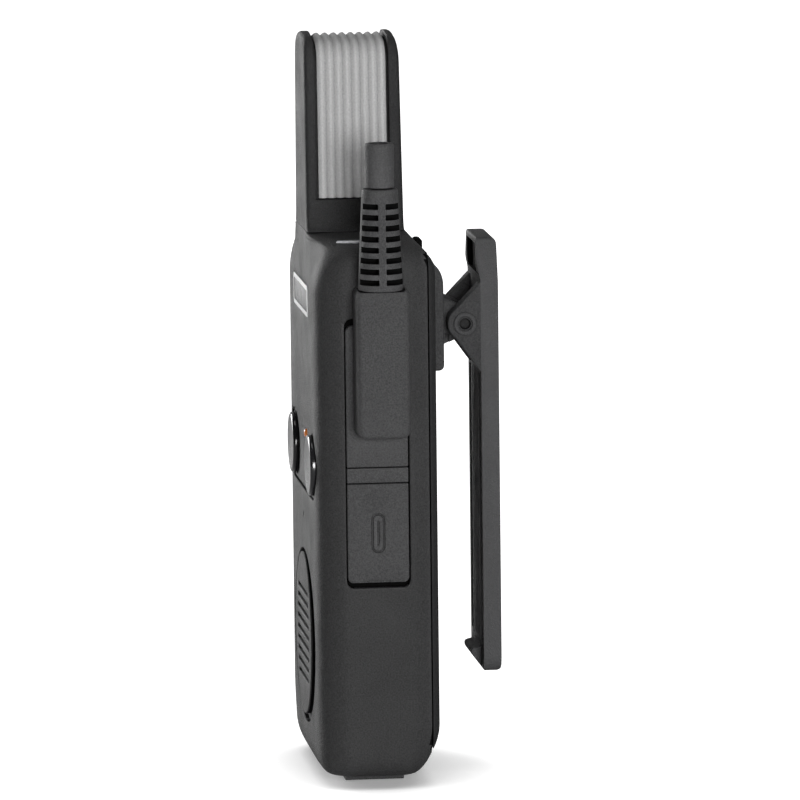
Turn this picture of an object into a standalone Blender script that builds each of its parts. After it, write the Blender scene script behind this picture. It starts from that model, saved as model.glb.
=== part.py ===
"""Portable two-way radio with ribbed antenna mast, side accessory plug and belt clip.

All dimensions are millimetres.  X runs across the radio, +X towards the accessory plug,
-Y is the front with the buttons and speaker, +Y the back with the belt clip, +Z is up.
The origin is the centre of the foot's bottom face.
"""

import math

import bmesh
import bpy
from mathutils import Matrix, Vector

MM = 0.001
GAP = 0.3
FIT = 0.2

# ---- case -------------------------------------------------------------------------
FRONT_Y = -12.5
BACK_Y = 12.8
SEAM_Y = 10.9
COVER_Y = 11.2
COVER_LOW = 8.0
TOP_Z = 115.1
CAVITY_X = 26.2
CAVITY_FRONT = -9.8
CAVITY_LOW = 10.5
CAVITY_HIGH = 108.5
PLAN_HALF = [
    (24.8, -12.5), (26.4, -12.2), (27.7, -11.4), (28.8, -10.2), (29.6, -8.8), (30.0, -7.2),
    (30.0, 7.7), (29.1, 10.6), (28.7, 11.7), (27.6, 12.8),
]
SIDE_PROFILE = [
    (-8.8, 2.0), (-10.3, 2.4), (-11.1, 3.0), (-11.75, 3.95), (-12.2, 5.1), (-12.45, 6.4), (-12.5, 7.8),
    (-12.5, 105.5), (-12.3, 108.3), (-11.8, 110.7), (-11.0, 113.0), (-9.8, 115.2), (-9.2, 116.0),
    (7.5, 116.0), (12.8, 109.8), (12.8, 12.5), (12.65, 11.0), (12.25, 9.6), (11.7, 8.3), (11.1, 7.2),
    (10.6, 6.2), (9.9, 5.0), (9.0, 3.7), (8.0, 2.7), (6.8, 2.15), (5.8, 2.0),
]
FRONT_HALF = [
    (25.0, 2.0), (27.0, 2.45), (28.6, 3.6), (29.6, 5.4), (30.0, 7.8), (30.0, 107.8), (29.6, 109.8),
    (28.6, 111.4), (27.0, 112.6), (25.0, 113.3), (11.8, 115.1),
]

# ---- foot ---------------------------------------------------------------------------
FOOT_X = 18.0
FOOT_Y = 6.15
FOOT_TOP = 1.7
CONTACT_PITCH = 10.0
CONTACT_R = 1.6

# ---- antenna mast -------------------------------------------------------------------
MAST_FRONT = -12.3
MAST_BACK_ROOT = 8.25
MAST_BACK_TOP = 7.75
MAST_ROOT_X = 11.5
MAST_TOP_X = 9.75
MAST_ROOT_Z = 115.4
MAST_SHOULDER_Z = 150.0
MAST_TOP_Z = 156.0
BAND_LOW_Z = 122.0
BAND_FRONT = -9.55
BAND_BACK = 4.9
BAND_GAP = 0.6
BAND_RIBS = 8
BAND_GROOVE = 1.6
BAND_VALLEY = 0.75
BAND_RISE = 0.42

# ---- front buttons, panel, lamp, badge ---------------------------------------------
BUTTON_X = 17.5
BUTTON_Z = 66.9
BUTTON_R = 6.4
BUTTON_FACE_Y = -13.4
BUTTON_THICK = 1.8
STEM_END = 6.0
BUTTON_STEM_R = 2.2
PANEL_R = 7.2
PANEL_X = 24.7
PANEL_FLOOR_Y = -10.9
LAMP_X = 4.8
LAMP_Z = 71.9
LAMP_R = 0.85
BADGE_X = 14.0
BADGE_H = 6.6
BADGE_Z = 100.6
BADGE_RIM = 1.0

# ---- speaker grip -------------------------------------------------------------------
GRIP_Z = 28.2
GRIP_RX = 20.5
GRIP_RZ = 18.4
GRIP_PAD_X = -3.6
GRIP_PAD_RX = 15.6
GRIP_FLOOR_Y = -11.5
SPEAKER_Z = 31.0
SLOT_COUNT = 9
SLOT_PITCH = 2.3
SLOT_H = 0.9
SLOT_REACH = 11.0

# ---- side door, flap and plug -------------------------------------------------------
DOOR_Y = 6.65
DOOR_LOW = 43.6
DOOR_HIGH = 98.9
FLANGE_HIGH = 97.5
DOOR_FLOOR_X = 28.3
FLAP_TOP = 64.3
FLAP_FACE_X = 29.9
STRAP_LOW = 64.6
STRAP_HIGH = 67.6
USB_Z = 54.0
SOCKET_Z = 83.0
PLUG_Y = 0.8
PLUG_HALF = 5.65
PLUG_LOW = 74.45
PLUG_HIGH = 106.1
PLUG_STEP = 105.2
STEP_HALF = 4.9
PLUG_X0 = 30.3
PLUG_X1 = 37.6
CABLE_X = 34.8
CABLE_Y = 0.55
RELIEF_TOP = 126.5
RELIEF_COLLAR = 3.45
RELIEF_R0 = 4.7
RELIEF_R1 = 3.75
RELIEF_ROWS = 8
RELIEF_PITCH = 2.24
NOTCH_HALF = 0.6
CABLE_R = 3.0
CABLE_TOP = 135.9

# ---- push-to-talk key on the -X side ------------------------------------------------
PTT_Z = 82.0
PTT_HALF_Y = 4.6
PTT_HALF_Z = 13.0
PTT_FACE_X = -31.2
PTT_FLOOR_X = -27.6

# ---- rear cover, clip ---------------------------------------------------------------
HINGE_Y = 11.5
HINGE_Z = 8.0
CLIP_X = 11.5
CLIP_BASE_LOW = 85.1
CLIP_BASE_HIGH = 109.0
CLIP_BASE_Y0 = 13.1
CLIP_BASE_Y1 = 16.35
SCREW_SEAT = 15.2
PIVOT_Y = 20.8
PIVOT_Z = 94.9
LUG_R = 3.6
PIN_R = 1.16
LEVER_X = 11.2
LEVER_TIP_X = 8.2
LEVER_IN = 24.15
THUMB_IN = 23.4
LEVER_OUT = 27.85
LEVER_LOW = 20.8
LEVER_HIGH = 112.7
LATCH_Z0 = 106.2
LATCH_Z1 = 112.0

# ---- materials: colour, roughness, metallic ----------------------------------------
FINISH = {
    "case_plastic": ((0.045, 0.045, 0.047), 0.62, 0.0),
    "mast_plastic": ((0.04, 0.04, 0.042), 0.55, 0.0),
    "gloss_plastic": ((0.015, 0.015, 0.016), 0.18, 0.0),
    "button_face": ((0.10, 0.10, 0.105), 0.35, 0.0),
    "band_rubber": ((0.42, 0.42, 0.42), 0.75, 0.0),
    "soft_rubber": ((0.035, 0.035, 0.036), 0.8, 0.0),
    "seal_rubber": ((0.02, 0.02, 0.02), 0.85, 0.0),
    "badge_white": ((0.8, 0.8, 0.8), 0.4, 0.0),
    "lamp_orange": ((0.9, 0.25, 0.03), 0.25, 0.0),
    "lens_clear": ((0.85, 0.87, 0.9), 0.1, 0.0),
    "board_green": ((0.02, 0.12, 0.05), 0.5, 0.0),
    "shield_steel": ((0.62, 0.62, 0.64), 0.3, 1.0),
    "contact_gold": ((0.85, 0.62, 0.25), 0.25, 1.0),
    "steel": ((0.5, 0.5, 0.52), 0.3, 1.0),
    "dark_steel": ((0.1, 0.1, 0.105), 0.4, 1.0),
    "battery_wrap": ((0.08, 0.12, 0.2), 0.5, 0.0),
    "copper": ((0.75, 0.35, 0.2), 0.3, 1.0),
}


# ---- helpers ------------------------------------------------------------------------
def clear_scene():
    for obj in list(bpy.data.objects):
        bpy.data.objects.remove(obj, do_unlink=True)


def make_collection(name, hidden=False):
    coll = bpy.data.collections.new(name)
    bpy.context.scene.collection.children.link(coll)
    coll.hide_render = hidden
    return coll


def material(slot):
    mat = bpy.data.materials.get(slot)
    if mat:
        return mat
    mat = bpy.data.materials.new(slot)
    mat.use_nodes = True
    shader = mat.node_tree.nodes["Principled BSDF"]
    colour, rough, metal = FINISH[slot]
    shader.inputs["Base Color"].default_value = (*colour, 1.0)
    shader.inputs["Roughness"].default_value = rough
    shader.inputs["Metallic"].default_value = metal
    return mat


def link(obj, slot):
    if slot is None:
        CUTTERS.objects.link(obj)
        obj.hide_render = True
        obj.display_type = "WIRE"
    else:
        PARTS.objects.link(obj)
        obj.data.materials.append(material(slot))
    return obj


def from_bmesh(name, bm, slot):
    bmesh.ops.recalc_face_normals(bm, faces=bm.faces)
    mesh = bpy.data.meshes.new(name)
    bm.to_mesh(mesh)
    bm.free()
    return link(bpy.data.objects.new(name, mesh), slot)


def axis_point(axis, a, b, c):
    """Point with in-plane coordinates a, b and distance c along the axis."""
    order = {"X": (c, a, b), "Y": (a, c, b), "Z": (a, b, c)}[axis]
    return Vector(order) * MM


def add_prism(bm, outline, axis, lo, hi):
    low = [bm.verts.new(axis_point(axis, a, b, lo)) for a, b in outline]
    high = [bm.verts.new(axis_point(axis, a, b, hi)) for a, b in outline]
    bm.faces.new(low)
    bm.faces.new(high)
    for i in range(len(low)):
        j = (i + 1) % len(low)
        bm.faces.new((low[i], low[j], high[j], high[i]))


def prism(name, outline, axis, lo, hi, slot=None):
    bm = bmesh.new()
    add_prism(bm, outline, axis, lo, hi)
    return from_bmesh(name, bm, slot)


def prisms(name, pieces, slot=None):
    """One cutter made of separate prisms, each (outline, axis, lo, hi)."""
    bm = bmesh.new()
    for outline, axis, lo, hi in pieces:
        add_prism(bm, outline, axis, lo, hi)
    return from_bmesh(name, bm, slot)


def rect(a0, a1, b0, b1, r=0.0, steps=4):
    """Rectangle outline with corner radius r."""
    if r <= 0:
        return [(a0, b0), (a1, b0), (a1, b1), (a0, b1)]
    points = []
    centres = [(a1 - r, b1 - r), (a0 + r, b1 - r), (a0 + r, b0 + r), (a1 - r, b0 + r)]
    for quarter, (ca, cb) in enumerate(centres):
        for k in range(steps + 1):
            t = math.radians(90 * quarter + 90 * k / steps)
            points.append((ca + r * math.cos(t), cb + r * math.sin(t)))
    return dedupe(points)


def dedupe(points):
    kept = []
    for p in points:
        if not kept or math.dist(kept[-1], p) > 1e-6:
            kept.append(p)
    if math.dist(kept[0], kept[-1]) < 1e-6:
        kept.pop()
    return kept


def circle(ca, cb, r, steps=24):
    turn = 2 * math.pi / steps
    return [(ca + r * math.cos(turn * k), cb + r * math.sin(turn * k)) for k in range(steps)]


def ellipse(ca, cb, ra, rb, steps=36):
    turn = 2 * math.pi / steps
    return [(ca + ra * math.cos(turn * k), cb + rb * math.sin(turn * k)) for k in range(steps)]


def mirrored(half):
    return half + [(-a, b) for a, b in reversed(half)]


def boolean(obj, cutter, operation="DIFFERENCE"):
    mod = obj.modifiers.new(operation.title(), "BOOLEAN")
    mod.operation = operation
    mod.solver = "EXACT"
    mod.object = cutter
    return obj


def bevel(obj, width, segments=2, angle=40):
    mod = obj.modifiers.new("Edge", "BEVEL")
    mod.width = width * MM
    mod.segments = segments
    mod.limit_method = "ANGLE"
    mod.angle_limit = math.radians(angle)
    return obj


def turned(name, profile, centre, axis, slot, steps=32):
    """Screw-turned solid: profile lists (radius, height), closed on its axis, top to bottom."""
    mesh = bpy.data.meshes.new(name)
    points = [(r * MM, 0, h * MM) for r, h in profile]
    mesh.from_pydata(points, [(i, i + 1) for i in range(len(points) - 1)], [])
    turn = {
        "Z": Matrix.Identity(3),
        "X": Matrix.Rotation(math.radians(90), 3, "Y"),
        "Y": Matrix.Rotation(math.radians(-90), 3, "X"),
    }[axis]
    obj = link(bpy.data.objects.new(name, mesh), slot)
    obj.matrix_world = Matrix.Translation(Vector(centre) * MM) @ turn.to_4x4()
    mod = obj.modifiers.new("Turn", "SCREW")
    mod.steps = steps
    mod.render_steps = steps
    mod.use_merge_vertices = True
    mod.merge_threshold = 1e-6
    return obj


def coil(name, centre, axis, radius, wire, turns, length, slot, per_turn=12):
    """Helical wire running along the given axis."""
    data = bpy.data.curves.new(name, "CURVE")
    data.dimensions = "3D"
    data.bevel_depth = wire * MM
    data.bevel_resolution = 2
    data.use_fill_caps = True
    count = int(turns * per_turn) + 1
    line = data.splines.new("POLY")
    line.points.add(count - 1)
    for k in range(count):
        t = 2 * math.pi * k / per_turn
        along = -length / 2 + length * k / (count - 1)
        p = axis_point(axis, radius * math.cos(t), radius * math.sin(t), along)
        line.points[k].co = (*(p + Vector(centre) * MM), 1)
    curve = bpy.data.objects.new(name + "_path", data)
    bpy.context.scene.collection.objects.link(curve)
    graph = bpy.context.evaluated_depsgraph_get()
    mesh = bpy.data.meshes.new_from_object(curve.evaluated_get(graph))
    bpy.data.objects.remove(curve, do_unlink=True)
    mesh.name = name
    bm = bmesh.new()
    bm.from_mesh(mesh)
    bmesh.ops.remove_doubles(bm, verts=bm.verts, dist=1e-7)
    bpy.data.meshes.remove(mesh)
    return from_bmesh(name, bm, slot)


def move_origin(obj, point):
    """Put the object's origin on a joint axis without moving the shape."""
    offset = Vector(point) * MM
    obj.data.transform(Matrix.Translation(-offset))
    obj.location = offset
    return obj


# ---- case ---------------------------------------------------------------------------
def shell(name, y_lo, y_hi, slot):
    """Outer form of the radio between two depths: plan, side and front outlines met."""
    plan = dedupe([(a, min(max(b, y_lo), y_hi)) for a, b in clipped_plan(y_lo, y_hi)])
    body = prism(name, plan, "Z", 0, 120, slot)
    boolean(body, side_form, "INTERSECT")
    boolean(body, front_form, "INTERSECT")
    return body


def clipped_plan(y_lo, y_hi):
    """The mirrored plan outline, cut at two depths."""
    half = []
    for (a0, b0), (a1, b1) in zip(PLAN_HALF[:-1], PLAN_HALF[1:]):
        for cut in (y_lo, y_hi):
            if min(b0, b1) < cut < max(b0, b1):
                t = (cut - b0) / (b1 - b0)
                half.append((a0 + t * (a1 - a0), cut))
        if y_lo <= b1 <= y_hi:
            half.append((a1, b1))
    if y_lo <= PLAN_HALF[0][1]:
        half.insert(0, PLAN_HALF[0])
    half.sort(key=lambda p: p[1])
    return mirrored(half)


def build_case():
    case = shell("main_case", FRONT_Y, BACK_Y, "case_plastic")
    bevel(case, 0.35, 1, 50)
    root = rect(-11.6, 11.6, -12.4, MAST_BACK_ROOT)
    boolean(case, prism("mast_root_form", root, "Z", 100, TOP_Z), "UNION")
    cover_space = prism("cover_space", rect(-40, 40, -5, 130), "Y", SEAM_Y, 30)
    boolean(case, cover_space)
    cavity = [
        (CAVITY_FRONT, CAVITY_HIGH), (CAVITY_FRONT, 18.0), (-5.0, CAVITY_LOW), (20.0, CAVITY_LOW),
        (20.0, CAVITY_HIGH),
    ]
    boolean(case, prism("case_cavity", cavity, "X", -CAVITY_X, CAVITY_X))
    boolean(case, build_front_cuts())
    boolean(case, build_grip_groove())
    boolean(case, build_side_cuts())
    seal = ring_bm("seal_groove", 27.6, 26.6, 11.1, 110.3, 10.0, 12.0)
    boolean(case, seal)
    return case


def ring_bm(name, half_out, half_in, z_lo, z_hi, y_lo, y_hi, slot=None):
    """Rectangular ring standing in the XZ plane."""
    wall = half_out - half_in
    outer = rect(-half_out, half_out, z_lo, z_hi, 1.6, 3)
    inner = rect(-half_in, half_in, z_lo + wall, z_hi - wall, 1.0, 3)
    return ring(name, outer, inner, "Y", y_lo, y_hi, slot)


def ring(name, outer, inner, axis, lo, hi, slot=None):
    """Extruded ring between two outlines with equal point counts."""
    bm = bmesh.new()
    loops = []
    for outline in (outer, inner):
        for level in (lo, hi):
            loops.append([bm.verts.new(axis_point(axis, a, b, level)) for a, b in outline])
    out_lo, out_hi, in_lo, in_hi = loops
    count = len(outer)
    for i in range(count):
        j = (i + 1) % count
        bm.faces.new((out_lo[i], out_lo[j], out_hi[j], out_hi[i]))
        bm.faces.new((in_lo[j], in_lo[i], in_hi[i], in_hi[j]))
        bm.faces.new((out_lo[j], out_lo[i], in_lo[i], in_lo[j]))
        bm.faces.new((out_hi[i], out_hi[j], in_hi[j], in_hi[i]))
    return from_bmesh(name, bm, slot)


def build_front_cuts():
    """Panel pocket, badge pocket, microphone hole and sound slots."""
    pill = rect(-PANEL_X - GAP, PANEL_X + GAP, BUTTON_Z - PANEL_R - GAP,
                BUTTON_Z + PANEL_R + GAP, PANEL_R + GAP, 8)
    pieces = [(pill, "Y", -20, PANEL_FLOOR_Y)]
    badge = rect(-BADGE_X - FIT, BADGE_X + FIT, BADGE_Z - BADGE_H / 2 - FIT,
                 BADGE_Z + BADGE_H / 2 + FIT, 1.4, 4)
    pieces.append((badge, "Y", -20, -11.9))
    pieces.append((circle(0, 54.0, 0.6, 10), "Y", -20, -8))
    for k in range(SLOT_COUNT):
        z = GRIP_Z + SLOT_PITCH * (k - (SLOT_COUNT - 1) / 2)
        reach = SLOT_REACH * math.sqrt(1 - ((z - GRIP_Z) / GRIP_RZ) ** 2)
        slot = rect(GRIP_PAD_X - reach, GRIP_PAD_X + reach, z - SLOT_H / 2, z + SLOT_H / 2,
                    SLOT_H / 2 - 0.01, 3)
        pieces.append((slot, "Y", -20, -8))
    return prisms("front_cuts", pieces)


def build_grip_groove():
    outer = ellipse(0, GRIP_Z, GRIP_RX, GRIP_RZ, 36)
    inner = ellipse(GRIP_PAD_X, GRIP_Z, GRIP_PAD_RX, GRIP_RZ - 1.2, 36)
    return ring("grip_groove", outer, inner, "Y", -14, GRIP_FLOOR_Y)


def build_side_cuts():
    """Door recess, socket holes, key pocket, mast hole, contact, stem and lamp holes."""
    door = rect(-DOOR_Y, DOOR_Y, DOOR_LOW - 1.1, DOOR_HIGH, 1.5, 4)
    port = rect(-1.9, 1.9, USB_Z - 4.8, USB_Z + 4.8, 1.85, 5)
    socket = rect(-5.1, 5.1, SOCKET_Z - 8.3, SOCKET_Z + 8.3, 1.0, 3)
    key = rect(-PTT_HALF_Y - 2.0, PTT_HALF_Y + 2.0, PTT_Z - PTT_HALF_Z - 2.0,
               PTT_Z + PTT_HALF_Z + 2.0, 3.0, 5)
    pieces = [
        (door, "X", DOOR_FLOOR_X, 40),
        (key, "X", -40, PTT_FLOOR_X),
        (rect(-5.6, 5.6, -3.0, -0.2), "Z", 107, 118),
    ]
    side = prisms("side_cuts", pieces)
    deeper = prisms("port_cuts", [
        (port, "X", 25, 29), (socket, "X", 25, 29), (circle(0, PTT_Z, 1.9, 16), "X", -28.5, -25),
    ])
    boolean(side, deeper, "UNION")
    lens = rect(19.65, 22.35, -7.45, 1.7, 1.3, 5)
    boolean(side, prism("lens_pocket", lens, "Z", 112.0, 118), "UNION")
    pins = [(circle(x, 0, CONTACT_R + 0.5, 16), "Z", 0, 12) for x in contact_places()]
    boolean(side, prisms("contact_holes", pins), "UNION")
    stems = [(circle(s * BUTTON_X, BUTTON_Z, BUTTON_STEM_R + 0.35, 20), "Y", -12, -8)
             for s in (-1, 1)]
    stems.append((circle(LAMP_X, LAMP_Z, LAMP_R + 0.15, 16), "Y", -12, -8))
    boolean(side, prisms("stem_holes", stems), "UNION")
    return side


def contact_places():
    return [-CONTACT_PITCH / 2, CONTACT_PITCH / 2]


def build_foot():
    outline = rect(-FOOT_Y, FOOT_Y, 0.0, FOOT_TOP)
    foot = prism("foot_block", outline, "X", -FOOT_X, FOOT_X, "soft_rubber")
    bevel(foot, 0.3, 2)
    holes = [(circle(x, 0, CONTACT_R + FIT, 16), "Z", -2, 6) for x in contact_places()]
    boolean(foot, prisms("foot_holes", holes))
    for side, x in zip(("left", "right"), contact_places()):
        profile = [(0, 9.0), (1.0, 9.0), (1.0, 2.6), (CONTACT_R, 2.4), (CONTACT_R, 0.35),
                   (1.35, 0.1), (0, 0.1)]
        turned(f"charge_contact_{side}", profile, (x, 0, 0), "Z", "contact_gold", 16)


# ---- front --------------------------------------------------------------------------
def build_front():
    pill = rect(-PANEL_X, PANEL_X, BUTTON_Z - PANEL_R, BUTTON_Z + PANEL_R, PANEL_R, 8)
    panel = prism("button_panel", pill, "Y", -12.1, -11.2, "gloss_plastic")
    bevel(panel, 0.2, 1)
    wells = [(circle(s * BUTTON_X, BUTTON_Z, BUTTON_R + GAP, 32), "Y", -20, -5) for s in (-1, 1)]
    wells.append((circle(LAMP_X, LAMP_Z, LAMP_R + 0.15, 16), "Y", -20, -5))
    boolean(panel, prisms("button_wells", wells))
    for side, sign in (("left", -1), ("right", 1)):
        profile = [
            (0, STEM_END), (BUTTON_STEM_R, STEM_END), (BUTTON_STEM_R, BUTTON_THICK),
            (BUTTON_R - 0.2, BUTTON_THICK), (BUTTON_R, BUTTON_THICK - 0.2), (BUTTON_R, 0.5),
            (BUTTON_R - 0.15, 0.2), (BUTTON_R - 0.5, 0.0),
            (4.6, 0.18), (2.4, 0.3), (0, 0.34),
        ]
        centre = (sign * BUTTON_X, BUTTON_FACE_Y, BUTTON_Z)
        turned(f"front_button_{side}", profile, centre, "Y", "button_face", 32)
        dome = [(0, 0.7), (2.6, 0.7), (2.6, 0.25), (1.9, 0.05), (0, 0)]
        centre = (sign * BUTTON_X, -6.6, BUTTON_Z)
        turned(f"dome_switch_{side}", dome, centre, "Y", "shield_steel", 20)
    lamp = [(0, 2.9), (0.7, 2.9), (LAMP_R, 2.7), (LAMP_R, 0.3), (0.6, 0.06), (0, 0)]
    turned("call_lamp", lamp, (LAMP_X, -12.7, LAMP_Z), "Y", "lamp_orange", 20)
    badge = rect(-BADGE_X, BADGE_X, BADGE_Z - BADGE_H / 2, BADGE_Z + BADGE_H / 2, 1.3, 4)
    plate = prism("badge_plate", badge, "Y", -12.6, -12.1, "badge_white")
    inner = rect(-BADGE_X + BADGE_RIM, BADGE_X - BADGE_RIM, BADGE_Z - BADGE_H / 2 + BADGE_RIM,
                 BADGE_Z + BADGE_H / 2 - BADGE_RIM, 0.6, 3)
    boolean(plate, prism("badge_field", inner, "Y", -14, -12.4))
    lens = rect(19.9, 22.1, -7.2, 1.45, 1.09, 5)
    lamp = prism("status_lens", lens, "Z", 112.3, 114.3, "lens_clear")
    bevel(lamp, 0.25, 1)


# ---- antenna ------------------------------------------------------------------------
def mast_outline(inset, z_low, steps=6, root=MAST_ROOT_X, top=MAST_TOP_X):
    """Front view of the mast: a slight taper closed by a crowned top."""
    half = [(root - inset, z_low)]
    half.append((top - inset, MAST_SHOULDER_Z))
    r = 5.0
    crown = MAST_TOP_Z - inset
    edge = top - inset
    for k in range(1, steps + 1):
        t = math.radians(90 * k / steps)
        a = edge - r + r * math.cos(t)
        b = MAST_SHOULDER_Z + (crown - 0.5 - MAST_SHOULDER_Z) * math.sin(t)
        half.append((a, b))
    return half + [(0.0, crown)] + [(-a, b) for a, b in reversed(half)]


def build_antenna():
    housing = prism("antenna_housing", mast_outline(0, MAST_ROOT_Z), "Y", -30, 30, "mast_plastic")
    side = [
        (MAST_FRONT, 110), (MAST_BACK_ROOT, 110), (MAST_BACK_ROOT, MAST_ROOT_Z),
        (MAST_BACK_TOP, MAST_SHOULDER_Z), (MAST_BACK_TOP, MAST_TOP_Z - 2.0),
        (MAST_BACK_TOP - 0.8, 160), (MAST_FRONT, 160),
    ]
    boolean(housing, prism("mast_side_form", side, "X", -30, 30), "INTERSECT")
    bevel(housing, 0.6, 2, 50)
    boolean(housing, band_channel())
    well = rect(-6.0, 6.0, -4.0, 1.0)
    boolean(housing, prism("mast_well", well, "Z", 110, 149))
    build_band()
    board = prism("antenna_element", rect(-5.0, 5.0, -2.3, -0.9), "Z", 106.0, 147.5, "board_green")
    bevel(board, 0.15, 1)


def band_channel():
    """Trough that wraps the mast's two sides and top."""
    deep = mast_outline(BAND_GROOVE, BAND_LOW_Z - GAP)
    wide = [(a * 1.6, b) for a, b in mast_outline(-4.0, BAND_LOW_Z - GAP)]
    trough = wide + deep[::-1]
    return prism("band_channel", trough, "Y", BAND_FRONT - BAND_GAP, BAND_BACK + BAND_GAP)


def build_band():
    """Ribbed strip: rounded ribs run along the strip, so every station has one section."""
    rib = (BAND_BACK - BAND_FRONT) / BAND_RIBS
    steps = 4
    section = [(BAND_FRONT, 0.0)]
    for k in range(BAND_RIBS):
        for s in range(steps + 1):
            t = math.pi * s / steps
            y = BAND_FRONT + rib * (k + s / steps)
            section.append((y, BAND_VALLEY + BAND_RISE * math.sin(t)))
    section.append((BAND_BACK, 0.0))
    section = dedupe(section)
    base = mast_outline(BAND_GROOVE - 0.12, BAND_LOW_Z)
    outer = mast_outline(BAND_GROOVE - 1.12, BAND_LOW_Z)
    bm = bmesh.new()
    rows = []
    for (xb, zb), (xo, zo) in zip(base, outer):
        direction = Vector((xo - xb, 0, zo - zb)).normalized()
        if abs(zb - BAND_LOW_Z) < 1e-6:
            direction = Vector((math.copysign(1, xb), 0, 0))
        row = []
        for y, height in section:
            p = Vector((xb, y, zb)) + direction * height
            row.append(bm.verts.new(p * MM))
        rows.append(row)
    for low, high in zip(rows[:-1], rows[1:]):
        for i in range(len(section)):
            j = (i + 1) % len(section)
            bm.faces.new((low[i], low[j], high[j], high[i]))
    bm.faces.new(rows[0])
    bm.faces.new(rows[-1])
    return from_bmesh("antenna_band", bm, "band_rubber")


# ---- side door and plug -------------------------------------------------------------
def build_door():
    edge = DOOR_Y - GAP
    strap = prism("flap_strap", rect(-edge, edge, STRAP_LOW, STRAP_HIGH), "X", 28.6,
                  FLAP_FACE_X, "soft_rubber")
    bevel(strap, 0.2, 1)
    flap = prism("usb_flap", rect(-edge, edge, DOOR_LOW, FLAP_TOP, 1.1, 4), "X", 28.7,
                 FLAP_FACE_X, "soft_rubber")
    bevel(flap, 0.2, 1)
    icon = ring("icon_groove", rect(-1.4, 1.4, USB_Z - 4.1, USB_Z + 4.1, 1.35, 5),
                rect(-1.0, 1.0, USB_Z - 3.7, USB_Z + 3.7, 0.95, 5), "X", 29.65, 31)
    boolean(flap, icon)
    boolean(flap, prism("icon_bar", rect(-0.2, 0.2, USB_Z - 2.4, USB_Z + 2.4), "X", 29.65, 31))
    move_origin(flap, (FLAP_FACE_X, 0, FLAP_TOP))
    shell_out = rect(-1.6, 1.6, USB_Z - 4.5, USB_Z + 4.5, 1.55, 5)
    usb = prism("usb_receptacle", shell_out, "X", 20.5, 28.2, "steel")
    boolean(usb, prism("usb_mouth", ring_gap(1.3, 4.2, 1.25), "X", 22.0, 30))
    tongue = prism("usb_tongue", rect(-0.35, 0.35, USB_Z - 3.3, USB_Z + 3.3), "X", 21.0, 27.0)
    boolean(usb, tongue, "UNION")


def ring_gap(half_y, half_z, r):
    return rect(-half_y, half_y, USB_Z - half_z, USB_Z + half_z, r, 5)


def build_socket():
    outline = rect(-4.8, 4.8, SOCKET_Z - 8.0, SOCKET_Z + 8.0, 0.8, 3)
    socket = prism("accessory_socket", outline, "X", 20.0, 28.1, "gloss_plastic")
    mouth = rect(-3.6, 3.6, SOCKET_Z - 6.8, SOCKET_Z + 6.8, 0.6, 3)
    boolean(socket, prism("socket_mouth", mouth, "X", 22.6, 30))


def build_plug():
    edge = DOOR_Y - GAP
    flange = prism("plug_flange", rect(-edge, edge, STRAP_HIGH + GAP, FLANGE_HIGH, 1.5, 4),
                   "X", 28.6, 29.95, "soft_rubber")
    bevel(flange, 0.2, 1)
    bore = rect(-3.5, 3.5, SOCKET_Z - 6.6, SOCKET_Z + 6.6, 0.5, 3)
    boolean(flange, prism("flange_hole", bore, "X", 20, 40))
    outline = rect(PLUG_Y - PLUG_HALF, PLUG_Y + PLUG_HALF, PLUG_LOW, PLUG_HIGH, 2.0, 5)
    body = prism("plug_body", outline, "X", PLUG_X0, PLUG_X1, "soft_rubber")
    bevel(body, 1.0, 3, 50)
    step = rect(CABLE_Y - STEP_HALF, CABLE_Y + STEP_HALF, PLUG_STEP, 110)
    boolean(body, prism("plug_step", step, "X", PLUG_X0 - 2, PLUG_X1 + 2))
    contacts = prism("plug_contacts", rect(-3.1, 3.1, SOCKET_Z - 6.2, SOCKET_Z + 6.2, 0.4, 2),
                     "X", 23.4, 30.0, "gloss_plastic")
    bevel(contacts, 0.2, 1)
    build_relief()
    profile = [(0, CABLE_TOP), (CABLE_R - 0.15, CABLE_TOP), (CABLE_R, CABLE_TOP - 0.15),
               (CABLE_R, RELIEF_TOP + GAP), (0, RELIEF_TOP + GAP)]
    turned("cable_stub", profile, (CABLE_X, CABLE_Y, 0), "Z", "soft_rubber", 28)


def build_relief():
    """Tapered sleeve with paired notches on both sides of a central web."""
    low = PLUG_STEP + GAP
    profile = [
        (0, RELIEF_TOP), (RELIEF_R1 - 0.4, RELIEF_TOP), (RELIEF_R1, RELIEF_TOP - 0.4),
        (RELIEF_R0, low), (0, low),
    ]
    relief = turned("strain_relief", profile, (CABLE_X, CABLE_Y, 0), "Z", "soft_rubber", 32)
    first = RELIEF_TOP - RELIEF_COLLAR
    pieces = []
    for k in range(RELIEF_ROWS):
        z = first - RELIEF_PITCH * k
        for y0, y1 in ((CABLE_Y - 8.0, CABLE_Y - 0.78), (CABLE_Y + 0.78, CABLE_Y + 8.0)):
            for x0, x1 in ((CABLE_X + 1.4, CABLE_X + 9), (CABLE_X - 9, CABLE_X - 1.4)):
                pieces.append((rect(x0, x1, y0, y1), "Z", z - NOTCH_HALF, z + NOTCH_HALF))
    return boolean(relief, prisms("relief_notches", pieces))


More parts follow.
